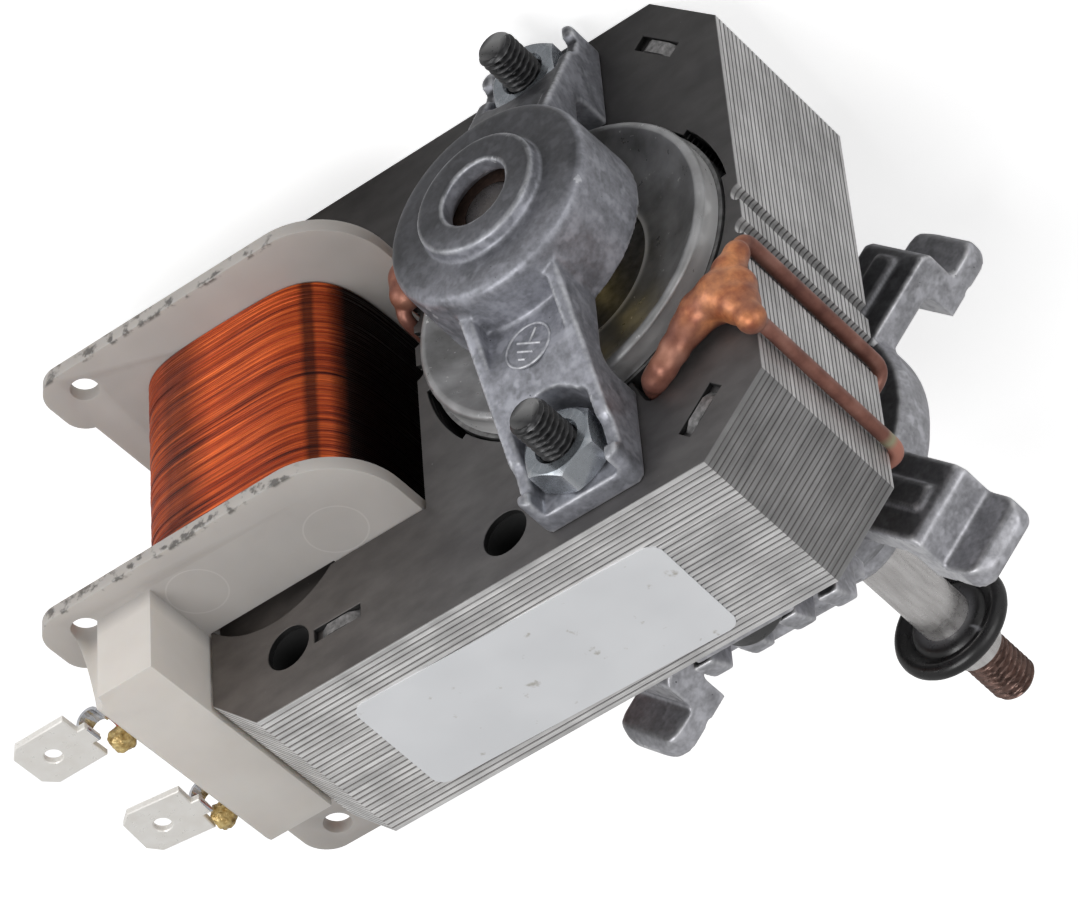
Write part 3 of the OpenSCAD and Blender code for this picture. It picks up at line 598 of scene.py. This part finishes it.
def finish_piece(piece, body, slot, *replaced, look=None):
    """Gives a piece the material that its slot or look names, its body, and hides the nodes that it stands
    for.
    """
    piece.data.materials.clear()
    piece.data.materials.append(MATS[look or slot])
    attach(piece, body)
    if replaced:
        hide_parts(*replaced)
        REPLACED.update(replaced)


def mesh_piece(name, verts, faces, smooth_angle=40):
    mesh = bpy.data.meshes.new(name)
    mesh.from_pydata([Vector(v) * MM for v in verts], [], faces)
    mesh.validate()
    piece = bpy.data.objects.new(name, mesh)
    bpy.context.scene.collection.objects.link(piece)
    tidy_normals(piece)
    smooth_by_angle(piece, smooth_angle)
    return piece


def join_parts(name, parts, smooth_angle=40):
    """One piece from several lists of vertices and faces."""
    verts, faces = [], []
    for part_verts, part_faces in parts:
        base = len(verts)
        verts += [tuple(v) for v in part_verts]
        faces += [tuple(base + k for k in face) for face in part_faces]
    return mesh_piece(name, verts, faces, smooth_angle)


@contextmanager
def edited(piece):
    """A piece's mesh for editing, which is written back at the end."""
    work = bmesh.new()
    work.from_mesh(piece.data)
    yield work
    work.to_mesh(piece.data)
    work.free()


def tidy_normals(piece):
    with edited(piece) as work:
        bmesh.ops.recalc_face_normals(work, faces=work.faces)


def smooth_by_angle(piece, degrees):
    limit = math.radians(degrees)
    with edited(piece) as work:
        for face in work.faces:
            face.smooth = True
        for edge in work.edges:
            if len(edge.link_faces) == 2:
                edge.smooth = edge.calc_face_angle(0) < limit


def grid_faces(rows, columns, joined=False, capped=False):
    """Faces between rings of points; joined closes the last ring on the first, capped fills both ends."""
    last = (rows - 1) * columns
    pairs = [(r * columns, (r + 1) * columns) for r in range(rows - 1)]
    if joined:
        pairs.append((last, 0))
    faces = []
    for a, b in pairs:
        for c in range(columns):
            d = (c + 1) % columns
            faces.append((a + c, a + d, b + d, b + c))
    if capped:
        faces += [tuple(range(columns)), tuple(range(last, last + columns))]
    return faces


def revolve(name, profile, columns, ripple=None):
    """Turns a closed profile of (radius, y) points about the shaft axis; ripple adds height to a point."""
    verts = []
    points = profile + [profile[0]]
    for r, y in points:
        for c in range(columns):
            a = 2 * math.pi * c / columns
            lift = ripple(r, a) if ripple else 0
            verts.append((r * math.cos(a), y + lift, r * math.sin(a)))
    piece = mesh_piece(name, verts, grid_faces(len(points), columns))
    weld(piece)
    return piece


def weld(piece):
    """Joins the points that a closed profile's last ring repeats."""
    distance_mm = 0.001
    with edited(piece) as work:
        bmesh.ops.remove_doubles(work, verts=work.verts, dist=distance_mm * MM)
        bmesh.ops.recalc_face_normals(work, faces=work.faces)
    smooth_by_angle(piece, 40)


def arc_points(cx, cy, r, a0, a1, count):
    return [(cx + r * math.cos(math.radians(a0 + (a1 - a0) * i / count)),
             cy + r * math.sin(math.radians(a0 + (a1 - a0) * i / count))) for i in range(count + 1)]


def tube_mesh(points, radius, sides, flat=1.0, closed=False):
    """Vertices and faces of a tube along a list of points; flat below 1 presses it along its second axis."""
    path = [Vector(p) for p in points]
    verts = []
    up = Vector((0.31, 0.17, 0.94))
    count = len(path)
    for i, p in enumerate(path):
        before = path[i - 1] if closed or i else p
        after = path[(i + 1) % count] if closed or i < count - 1 else p
        along = (after - before).normalized()
        side = along.cross(up).normalized()
        up = side.cross(along).normalized()
        for s in range(sides):
            a = 2 * math.pi * s / sides
            verts.append(p + side * math.cos(a) * radius + up * math.sin(a) * radius * flat)
    return verts, grid_faces(count, sides, joined=closed, capped=not closed)


def rounded_path(corners, bend):
    """Points along straight runs joined by soft bends at the corners."""
    steps = 6
    pts = [Vector(c) for c in corners]
    out = [pts[0]]
    for a, b, c in zip(pts, pts[1:], pts[2:]):
        cut = min(bend, (b - a).length * 0.45, (c - b).length * 0.45)
        start = b + (a - b).normalized() * cut
        end = b + (c - b).normalized() * cut
        for i in range(steps + 1):
            t = i / steps
            out.append(start * (1 - t) ** 2 + b * 2 * t * (1 - t) + end * t ** 2)
    out.append(pts[-1])
    return out


def evaluated_mesh(piece):
    depsgraph = bpy.context.evaluated_depsgraph_get()
    return bpy.data.meshes.new_from_object(piece.evaluated_get(depsgraph))


def melt(piece, voxel_mm, rounds):
    """Remeshes a closed piece and smooths it, which rounds its edges as a casting's are."""
    remesh = piece.modifiers.new("remesh", "REMESH")
    remesh.mode = "VOXEL"
    remesh.voxel_size = voxel_mm * MM
    smooth = piece.modifiers.new("smooth", "SMOOTH")
    smooth.iterations = rounds
    smooth.factor = 0.5
    mesh = evaluated_mesh(piece)
    piece.modifiers.clear()
    piece.data = mesh
    for face in mesh.polygons:
        face.use_smooth = True


def copy_of(node, name):
    piece = bpy.data.objects.new(name, NODES[node].data.copy())
    bpy.context.scene.collection.objects.link(piece)
    return piece


def soften(node, name, width_mm):
    """A copy of a solid with its sharp edges rounded."""
    double_mm = 0.0005
    flat_angle, sharp_angle, smooth_angle = 1.0, 35, 45
    piece = copy_of(node, name)
    flat = math.radians(flat_angle)
    with edited(piece) as work:
        bmesh.ops.remove_doubles(work, verts=work.verts, dist=double_mm * MM)
        bmesh.ops.dissolve_limit(work, angle_limit=flat, verts=work.verts, edges=work.edges)
    bevel = piece.modifiers.new("bevel", "BEVEL")
    bevel.width = width_mm * MM
    bevel.segments = 2
    bevel.limit_method = "ANGLE"
    bevel.angle_limit = math.radians(sharp_angle)
    bevel.harden_normals = False
    mesh = evaluated_mesh(piece)
    piece.modifiers.clear()
    piece.data = mesh
    smooth_by_angle(piece, smooth_angle)
    return piece


# Lamination stack

def circle_loop(x, z, r, count=28):
    return [(x + r * math.cos(2 * math.pi * i / count), z + r * math.sin(2 * math.pi * i / count))
            for i in range(count)]


def slot_loop(x, z, length, width, degrees):
    a = math.radians(degrees)
    ux, uz = math.cos(a), math.sin(a)
    corners = [(-1, -1), (1, -1), (1, 1), (-1, 1)]
    return [(x + s * length / 2 * ux - t * width / 2 * uz, z + s * length / 2 * uz + t * width / 2 * ux)
            for s, t in corners]


def turn_half(points):
    return [(-x, -z) for x, z in points]


def outer_loop():
    """The stack's outline: a C with the sockets of the core and the notches of its flat walls."""
    end_corner, tip_corner = 7, 5
    window_z = 16.6
    socket_x = (CORE_LOW.x + CORE_HIGH.x) / 2
    socket_z = CORE_HIGH.z - CORE_R
    tip = math.degrees(math.asin((STACK_HIGH.x - socket_x) / SOCKET_R))
    mouth = math.degrees(math.asin((window_z - socket_z) / SOCKET_R))
    lower = [(-END_X, -HALF_H + end_corner), (-END_X + end_corner, -HALF_H),
             (STACK_HIGH.x - tip_corner, -HALF_H), (STACK_HIGH.x, -HALF_H + tip_corner)]
    lower += arc_points(socket_x, -socket_z, SOCKET_R, -90 + tip, -180 + mouth, 16)
    lower += [(END_X, -window_z)]
    notches = notch_points()
    upper = [(x, -z) for x, z in reversed(lower)]
    return lower + turn_half(notches) + upper + notches


def notch_points():
    """The half-round notches of the end wall, from its label side on."""
    points = []
    for z, r, back in ((8.2, 1.2, 0.35), (5.2, 1.0, 0.1), (0.8, 1.0, 0.1)):
        reach = math.degrees(math.acos(back / r))
        points += arc_points(-END_X - back, z, r, reach, -reach, 8)
    return points


def bore_loop():
    """The bore with a stepped air gap and a slot for the shading ring in each pole."""
    step_r = BORE_R + 0.6
    step_from, step_to = 7.4, 38
    half_angle = math.degrees(math.asin(SLOT_HALF / BORE_R))
    one_side = arc_points(0, 0, BORE_R, 0, step_from, 3) + arc_points(0, 0, step_r, step_from, step_to, 14)
    one_side += arc_points(0, 0, BORE_R, step_to, SLOT_TURN - half_angle, 30)
    a = math.radians(SLOT_TURN)
    for x, z in arc_points(SLOT_END, 0, SLOT_HALF, -90, 90, 10):
        one_side.append((x * math.cos(a) - z * math.sin(a), x * math.sin(a) + z * math.cos(a)))
    one_side += arc_points(0, 0, BORE_R, SLOT_TURN + half_angle, 179, 30)
    return one_side + turn_half(one_side)


def plate_mesh(loops, thickness, bevel):
    """One stamped sheet with holes, lying in X and Z, centred on y = 0."""
    curve = bpy.data.curves.new("sheet_outline", "CURVE")
    curve.dimensions = "2D"
    curve.fill_mode = "BOTH"
    curve.extrude = thickness / 2 - bevel
    curve.bevel_depth = bevel
    curve.bevel_resolution = 0
    curve.offset = -bevel
    for loop in loops:
        spline = curve.splines.new("POLY")
        spline.points.add(len(loop) - 1)
        for point, (x, z) in zip(spline.points, loop):
            point.co = (x, z, 0, 1)
        spline.use_cyclic_u = True
    carrier = bpy.data.objects.new("sheet_outline", curve)
    bpy.context.scene.collection.objects.link(carrier)
    mesh = evaluated_mesh(carrier)
    bpy.data.objects.remove(carrier)
    verts = [(v.co.x, -v.co.z, v.co.y) for v in mesh.vertices]
    faces = [tuple(p.vertices) for p in mesh.polygons]
    return verts, faces


def stacked(sheet, first, last):
    """Copies of one sheet at the places from the first up to the last in the stack."""
    verts, faces = sheet
    middles = [FRONT_Y + PITCH * (i + 0.5) for i in range(first, last)]
    return [([(x, middle + y, z) for x, y, z in verts], faces) for middle in middles]


def build_stack():
    bolt_hole_r = 2.1
    slot_length, slot_width = 5.4, 1.6
    holes = [bore_loop()]
    holes += [circle_loop(0, side * BOLT_Z, bolt_hole_r) for side in (-1, 1)]
    holes += [circle_loop(x, z, HOLE_R) for x, z in ROUND_HOLES]
    slots = [slot_loop(x, z, slot_length, slot_width, turn) for x, z, turn in INTERLOCKS]
    front = plate_mesh([outer_loop()] + holes + slots, *FRONT_SHEET)
    inner = plate_mesh([outer_loop()] + holes, *INNER_SHEET)
    piece = join_parts("laminations", stacked(front, 0, 1) + stacked(inner, 1, LAMINATIONS), 25)
    finish_piece(piece, "stator", "lamination_steel", "stator_stack")


def build_interlocks():
    """The pressed-in bars that show in the slots of the front sheet."""
    parts = []
    for x, z, turn in INTERLOCKS:
        top = [(px, FRONT_Y + 0.12, pz) for px, pz in slot_loop(x, z, 2.4, 1.3, turn)]
        foot = [(px, FRONT_Y + PITCH + 0.1, pz) for px, pz in slot_loop(x, z, 4.6, 1.5, turn)]
        parts.append((top + foot, grid_faces(2, 4, capped=True)))
    finish_piece(join_parts("interlock_bars", parts), "stator", "lamination_steel", look="interlock")


def build_hole_walls():
    """Near-black walls of the front holes, behind the first sheet, as painted shade inside the holes."""
    columns = 40
    outer_r, inner_r = HOLE_R + 0.06, HOLE_R - 0.04
    front, back = FRONT_Y + PITCH, BACK_Y - PITCH
    rings = [(outer_r, front), (outer_r, back), (inner_r, back), (inner_r, front)]
    parts = []
    for x, z in ROUND_HOLES:
        verts = [(px, y, pz) for r, y in rings for px, pz in circle_loop(x, z, r, columns)]
        parts.append((verts, grid_faces(len(rings), columns, joined=True)))
    finish_piece(join_parts("hole_walls", parts), "stator", "lamination_steel", look="painted_hole_shade")


def build_core():
    """The core's own sheets, with its round ends."""
    half = (CORE_HIGH.x - CORE_LOW.x) / 2
    centre = (CORE_HIGH.x + CORE_LOW.x) / 2
    reach = math.degrees(math.asin(half / CORE_R))
    top = arc_points(centre, CORE_HIGH.z - CORE_R, CORE_R, 90 - reach, 90 + reach, 20)
    outline = top + [(2 * centre - x, -z) for x, z in top]
    parts = stacked(plate_mesh([outline], *INNER_SHEET), CORE_SINK, LAMINATIONS)
    finish_piece(join_parts("core_sheets", parts, 25), "stator", "lamination_steel", "coil_core")


# Winding

def winding_outline(count):
    """The winding's outline round its own centre, as points at even steps along its length."""
    half_x, half_y = (WIND_HIGH.x - WIND_LOW.x) / 2, (WIND_HIGH.y - WIND_LOW.y) / 2
    power = 2 / 4.5
    fine_steps = 1440
    fine = []
    for i in range(fine_steps):
        t = 2 * math.pi * i / fine_steps
        c, s = math.cos(t), math.sin(t)
        x = math.copysign(abs(c) ** power, c) * half_x
        y = math.copysign(abs(s) ** power, s) * half_y
        fine.append(Vector((x, y)))
    lengths = [0.0]
    for p, q in zip(fine, fine[1:] + fine[:1]):
        lengths.append(lengths[-1] + (q - p).length)
    outline, k = [], 0
    for i in range(count):
        want = lengths[-1] * i / count
        while lengths[k + 1] < want:
            k += 1
        share = (want - lengths[k]) / (lengths[k + 1] - lengths[k])
        outline.append(fine[k].lerp(fine[(k + 1) % len(fine)], share))
    return outline


def build_winding():
    """The outer layer of the winding as one ribbed wall, whose turns wander and sink a little."""
    wire = 0.27
    wander, sag = 0.16, 0.07
    end_gap = 0.05
    inner_x, inner_y = 0.62, 0.70
    columns = 190
    outline = winding_outline(columns)
    cx, cy = (WIND_LOW.x + WIND_HIGH.x) / 2, (WIND_LOW.y + WIND_HIGH.y) / 2
    z0, z1 = WIND_LOW.z + end_gap, WIND_HIGH.z - end_gap
    # Places across one turn, and how far the wall sinks there
    profile = ((-0.5, -0.10), (-0.2, -0.012), (0.2, -0.012))
    verts = []
    rows = 0
    for t in range(int((z1 - z0) / wire)):
        for place, sink in profile:
            rows += 1
            for c, p in enumerate(outline):
                around = 2 * math.pi * c / columns
                drift = noise.noise(Vector((math.cos(around) * 1.3, math.sin(around) * 1.3, t * 0.11)))
                loose = noise.noise(Vector((math.cos(around) * 2.2 + 7, math.sin(around) * 2.2, t * 0.9)))
                z = min(max(z0 + (t + 0.5 + place) * wire + drift * wander, z0), z1)
                scale = 1 + (sink - sag + loose * sag) / p.length
                verts.append((cx + p.x * scale, cy + p.y * scale, z))
    faces = grid_faces(rows, columns)
    for z, first in ((z0, 0), (z1, (rows - 1) * columns)):
        base = len(verts)
        verts += [(cx + p.x * inner_x, cy + p.y * inner_y, z) for p in outline]
        faces += [(first + c, base + c, base + (c + 1) % columns, first + (c + 1) % columns)
                  for c in range(columns)]
    piece = mesh_piece("winding_turns", verts, faces, 70)
    finish_piece(piece, "stator", "magnet_wire", "coil_winding")


# Threads, bolts and nuts

def thread_rod(z, y0, y1, radius, pitch, tip_first):
    """A threaded rod along Y at height z; the thread fades in at its tip and runs out at its other end."""
    depth = pitch * 0.58
    tip_length, runout = 0.5, 0.4
    root_share, flank_share = 0.12, 0.7
    columns = 48
    per_pitch = 10
    length = y1 - y0
    rows = int(length / pitch * per_pitch)
    verts = []
    for r in range(rows + 1):
        y = y0 + length * r / rows
        from_tip = (y - y0) if tip_first else (y1 - y)
        lead = min(max(from_tip / tip_length, 0.0), 1.0)
        fade = min(max((length - from_tip) / runout, 0.0), 1.0)
        for c in range(columns):
            turn = c / columns
            phase = (y / pitch + turn) % 1.0
            crest = min(max((1 - abs(phase * 2 - 1) - root_share) / flank_share, 0), 1)
            rad = radius - depth * (1 - crest) * fade
            rad = min(rad, radius - depth * 0.9 * (1 - lead))
            verts.append((rad * math.cos(2 * math.pi * turn), y, z + rad * math.sin(2 * math.pi * turn)))
    return verts, grid_faces(rows + 1, columns, capped=True)


def turned(z, rings, columns=48):
    """A turned solid along Y at height z; rings are (radius, y)."""
    verts = []
    for r, y in rings:
        for c in range(columns):
            a = 2 * math.pi * c / columns
            verts.append((r * math.cos(a), y, z + r * math.sin(a)))
    return verts, grid_faces(len(rings), columns, capped=True)


def build_bolt(node, name):
    low, high = box_mm(node)
    z = centre_of(node).z
    thread_length, pitch = 7.5, 0.7
    thread_end = low.y + thread_length
    plain_r = BOLT_R - 0.12
    head = BACK_Y + 2.2
    head_rings = [(3.3, head), (3.5, head + 0.2), (3.5, head + 1.7), (3.1, head + 2.2), (2.0, high.y)]
    parts = [
        thread_rod(z, low.y, thread_end, BOLT_R, pitch, True),
        turned(z, [(plain_r, thread_end - 0.1), (plain_r, head + 0.1)]),
        turned(z, head_rings)
    ]
    finish_piece(join_parts(name, parts), "stator", "black_bolt", node)


def build_nut(node, name):
    """A hexagon nut with turned corners and a sink round its bore."""
    low, high = box_mm(node)
    z = centre_of(node).z
    half_flats = 3.5
    face_r = half_flats * 0.97
    bore_r, sink_r, sink = 2.06, 2.35, 0.35
    slope = 0.577
    columns = 96
    flat = math.pi / 3
    rows = [[] for _ in range(7)]
    for c in range(columns):
        a = 2 * math.pi * c / columns
        wall_r = half_flats / math.cos(a % flat - flat / 2)
        fall = max(wall_r - face_r, 0) * slope
        places = [(bore_r, high.y), (bore_r, low.y + sink), (sink_r, low.y), (face_r, low.y),
                  (wall_r, low.y + fall), (wall_r, high.y - fall), (face_r, high.y)]
        for row, (radius, y) in zip(rows, places):
            row.append((radius * math.cos(a + flat / 2), y, z + radius * math.sin(a + flat / 2)))
    verts = [point for row in rows for point in row]
    piece = mesh_piece(name, verts, grid_faces(len(rows), columns, joined=True), 22)
    finish_piece(piece, "stator", "zinc_nut", node)


# Rotor pieces

def build_cage():
    """The cage's two end rings, each with a round rim and a dish that falls to the hub."""
    ring_r, hub_r, height = 16.3, 8.35, 2.6
    rim = 0.62
    rim_r = ring_r - rim
    dish_r = rim_r - rim / 2
    hub_height, dish_drop, dish_steps = 0.42, 0.55, 14
    seat = 0.05

    def profile(face, way):
        points = [(hub_r, seat), (ring_r, seat), (ring_r, height - rim)]
        points += arc_points(rim_r, height - rim, rim, 12, 118, 9)
        for i in range(1, dish_steps + 1):
            u = i / dish_steps
            fall = (height - dish_drop) * (1 - u) ** 2.1
            points.append((dish_r - (dish_r - hub_r) * u, hub_height + fall))
        return [(r, face + way * h) for r, h in points]

    def ripple(r, a):
        return 0.05 * noise.noise(Vector((r * 0.5 * math.cos(a), r * 0.5 * math.sin(a), 3))) if r > 9 else 0

    for name, face, way in (("cage_ring_front", FRONT_Y, -1), ("cage_ring_back", BACK_Y, 1)):
        piece = revolve(name, profile(face, way), 144, ripple)
        finish_piece(piece, "rotor", "cast_cage", "rotor_cage")


def build_shaft():
    """The ground shaft with a chamfered front end and its threaded end."""
    low, high = box_mm("shaft")
    r, neck_r = 2.75, 2.45
    thread_r, thread_pitch, thread_length = 2.5, 0.8, 6.5
    chamfer = 0.45
    thread_from = high.y - thread_length
    start = low.y + chamfer
    span = thread_from - low.y - 0.65
    rings = [(0.3, low.y), (r - chamfer, low.y), (r - 0.12, low.y + 0.12), (r, start)]
    rings += [(r, start + span * i / 12) for i in range(1, 13)]
    rings += [(neck_r, thread_from)]
    parts = [turned(0, rings, 64), thread_rod(0, thread_from - 0.05, high.y, thread_r, thread_pitch, False)]
    finish_piece(join_parts("shaft_turned", parts), "rotor", "shaft_steel", "shaft")


def build_flinger():
    """The moulded disc: a hub, a sunk web and a round rim."""
    low, high = box_mm("flinger_disc")
    y, thick, rim_r = low.y, high.y - low.y, high.x
    bore_r = 2.78
    profile = [(bore_r, y + 0.02), (3.6, y), (4.1, y + 0.2), (4.4, y + 0.62), (rim_r - 1.9, y + 0.62),
               (rim_r - 1.5, y + 0.45), (rim_r - 1.1, y + 0.12)]
    profile += arc_points(rim_r - 0.95, y + thick / 2, thick / 2 - 0.04, -80, 80, 8)
    profile += [(rim_r - 1.6, y + thick - 0.1), (bore_r, y + thick - 0.1)]
    profile = [(min(r, rim_r), h) for r, h in profile]
    finish_piece(revolve("flinger_moulded", profile, 96), "rotor", "flinger_black", "flinger_disc")


# Shading rings

def ball_mesh(x, height, z, radius):
    """A ball over the stack's front."""
    work = bmesh.new()
    bmesh.ops.create_icosphere(work, subdivisions=3, radius=radius)
    verts = [(v.co.x + x, v.co.y + (FRONT_Y - height), v.co.z + z) for v in work.verts]
    faces = [tuple(v.index for v in f.verts) for f in work.faces]
    work.free()
    return verts, faces


def melted_joint(name, lumps):
    """The brazed joint's balls run together, as vertices and faces."""
    piece = join_parts(name, [ball_mesh(*lump) for lump in lumps])
    melt(piece, 0.26, 34)
    mesh = piece.data
    verts = [v.co / MM for v in mesh.vertices]
    faces = [tuple(f.vertices) for f in mesh.polygons]
    bpy.data.objects.remove(piece)
    return verts, faces


def build_shading_ring(name, node, strands, lumps, leg, side):
    """Two strands that leave a brazed joint, run behind the stack and come back through the pole's slot."""
    strand_r, leg_r, sides = 0.8, 1.0, 18
    leg_x, leg_z = leg
    front = FRONT_Y - 1.2
    back = BACK_Y + strand_r + 0.06
    joint_x, joint_z = side * 16.4, -side * 15.2
    parts = []
    for x, z in strands:
        corners = [(joint_x, front, joint_z), (x, front, z), (x, back, z), (leg_x, back, leg_z)]
        parts.append(tube_mesh(rounded_path(corners, 1.7), strand_r, sides, 0.9))
    corners = [(leg_x, back, leg_z), (leg_x, front + 0.1, leg_z), (joint_x, front - 0.3, joint_z)]
    parts.append(tube_mesh(rounded_path(corners, 1.6), leg_r, sides))
    parts.append(melted_joint(name + "_joint", lumps))
    piece = join_parts(name, parts)
    melt(piece, 0.17, 5)
    finish_piece(piece, "stator", "brazed_copper", node)


def build_shading_rings():
    angle = math.radians(SLOT_TURN)
    leg_x, leg_z = SLOT_END * math.cos(angle), SLOT_END * math.sin(angle)
    build_shading_ring("shading_ring_brazed_lower", "shading_ring_lower",
                       [(-END_X - 0.35, 8.0), (-END_X - 0.9, 19.0)], LOWER_LUMPS, (leg_x, leg_z), -1)
    build_shading_ring("shading_ring_brazed_upper", "shading_ring_upper",
                       [(END_X + 0.55, -8.0), (END_X + 1.06, -12.6)], UPPER_LUMPS, (-leg_x, -leg_z), 1)


# Castings

def build_casting(node, name, slot, voxel_mm):
    piece = copy_of(node, name)
    melt(piece, voxel_mm, 4)
    finish_piece(piece, "stator", slot, node)


def build_earth_sign():
    """The raised earth sign on the front bracket: a ring, a stem and three bars."""
    turn_degrees = 31
    y, z = FRONT_Y - 8.4, 14.7
    ring_r, line_r, stem_r, sides = 2.4, 0.13, 0.12, 10
    steps = 48
    angles = [2 * math.pi * i / steps for i in range(steps)]
    ring = [(ring_r * math.cos(a), y, z + ring_r * math.sin(a)) for a in angles]
    parts = [tube_mesh(ring, line_r, sides, closed=True)]
    parts.append(tube_mesh([(0, y, z - 1.9), (0, y, z - 0.3)], stem_r, sides))
    for half, at in ((1.45, -0.25), (0.95, 0.65), (0.4, 1.5)):
        parts.append(tube_mesh([(-half, y, z + at), (half, y, z + at)], line_r, sides))
    turn = Matrix.Rotation(math.radians(turn_degrees), 3, "Y")
    centre = Vector((0, y, z))
    parts = [([turn @ (Vector(v) - centre) + centre for v in verts], faces) for verts, faces in parts]
    finish_piece(join_parts("earth_sign", parts), "stator", "die_cast_zinc")


# Terminals and winding ends

def tab_mesh(shoulder, turn):
    """A push-on tab with its neck and hole, turned about its shoulder in its own plane."""
    half, neck = TAB_WIDTH / 2, NECK_WIDTH / 2
    one_side = [(-NECK_LENGTH, -neck), (0, -neck), (0, -half),
                (TAB_LENGTH - TAB_CORNER, -half), (TAB_LENGTH, TAB_CORNER - half)]
    outline = one_side + [(x, -z) for x, z in reversed(one_side)]
    hole = circle_loop(TAB_LENGTH * 0.55, 0, 0.9)
    verts, faces = plate_mesh([outline, hole], TAB_THICK, 0.1)
    swing = Matrix.Rotation(math.radians(turn), 3, "Z")
    return [swing @ Vector((x, z, y)) + shoulder for x, y, z in verts], faces


def curl_mesh(x, y0, y1, top):
    """The rolled strip under a tab, and the place on its free end that the wire leaves from."""
    outer_r, inner_r, steps = 1.35, 1.02, 24
    row = steps + 1
    verts = []
    for r in (outer_r, inner_r):
        for y in (y0, y1):
            verts += [(px, y, pz) for px, pz in arc_points(x, top - outer_r, r, 95, -150, steps)]
    walls = [(0, row), (row, 3 * row), (3 * row, 2 * row), (2 * row, 0)]
    faces = [(a + i, a + i + 1, b + i + 1, b + i) for a, b in walls for i in range(steps)]
    faces += [tuple(end + k * row for k in (0, 1, 3, 2)) for end in (0, steps)]
    end_x, _, end_z = verts[steps]
    return verts, faces, Vector((end_x, y0 + (y1 - y0) * 0.8, end_z))


def build_terminal(node, name, turn):
    """A tab, the strip that curls under it at the block, and the wire from the strip to the drop."""
    low, high = box_mm(node)
    lean = math.radians(abs(turn))
    start_x = high.x - TAB_LENGTH * math.cos(lean) - (TAB_WIDTH / 2 - TAB_CORNER) * math.sin(lean)
    middle = (low.y + high.y) / 2 + (TAB_LENGTH / 2 - 0.1) * math.sin(lean)
    shoulder = Vector((start_x, middle, high.z - TAB_THICK / 2))
    finish_piece(join_parts(name, [tab_mesh(shoulder, turn)]), "stator", "tinned_brass", node)
    verts, faces, tip = curl_mesh(start_x - NECK_LENGTH, middle - 0.7, middle + 1.1, high.z)
    strip = join_parts(name + "_strip", [(verts, faces)])
    finish_piece(strip, "stator", "tinned_brass", node, look="bright_strip")
    drop_low, drop_high = box_mm(node.replace("terminal", "lead"))
    drop = (drop_low + drop_high) / 2
    path = [tip + Vector((0.3, 0, -0.2)), tip, tip.lerp(drop, 0.5) + Vector((-0.2, 0, -0.3)), drop]
    wire = join_parts(name + "_wire", [tube_mesh(rounded_path(path, 0.8), 0.16, 10)])
    finish_piece(wire, "stator", "magnet_wire")


def build_drop(node, name):
    """A winding end with its knobbly drop of solder and flux."""
    piece = copy_of(node, name)
    melt(piece, 0.1, 6)
    for vertex in piece.data.vertices:
        lump = noise.noise(vertex.co / MM * 1.5) * 0.3 + noise.noise(vertex.co / MM * 3.5) * 0.1
        vertex.co += vertex.normal * lump * MM
    finish_piece(piece, "stator", "solder_flux", node)


# Solids that keep their own form

def build_bobbin():
    finish_piece(soften("bobbin", "bobbin_moulded", 0.42), "stator", "bobbin_plastic", "bobbin")


def dress_solids():
    """Gives each solid that no piece stands for the material of its slot."""
    for node, piece in NODES.items():
        if node in REPLACED:
            continue
        mat = MATS[SLOT_OF[node]]
        if piece.material_slots:
            piece.material_slots[0].material = mat
        else:
            piece.data.materials.append(mat)


set_camera()
set_world()
make_floor()
for lamp, values in LAMPS.items():
    area_light(lamp, *values)

MATS = make_materials()

build_stack()
build_interlocks()
build_hole_walls()
build_core()
build_winding()
build_cage()
build_shaft()
build_flinger()
for side in ("upper", "lower"):
    build_bolt("bolt_" + side, "bolt_threaded_" + side)
for side in ("upper", "lower"):
    build_nut("nut_" + side, "nut_turned_" + side)
build_shading_rings()
build_casting("front_bracket", "front_casting", "die_cast_zinc", 0.24)
build_casting("rear_bracket", "rear_casting", "die_cast_dark", 0.28)
build_earth_sign()
build_terminal("terminal_front", "tab_front", 0)
build_terminal("terminal_rear", "tab_rear", -7)
build_drop("lead_front", "solder_drop_front")
build_drop("lead_rear", "solder_drop_rear")
build_bobbin()
dress_solids()

bpy.context.scene.view_settings.view_transform = "Standard"
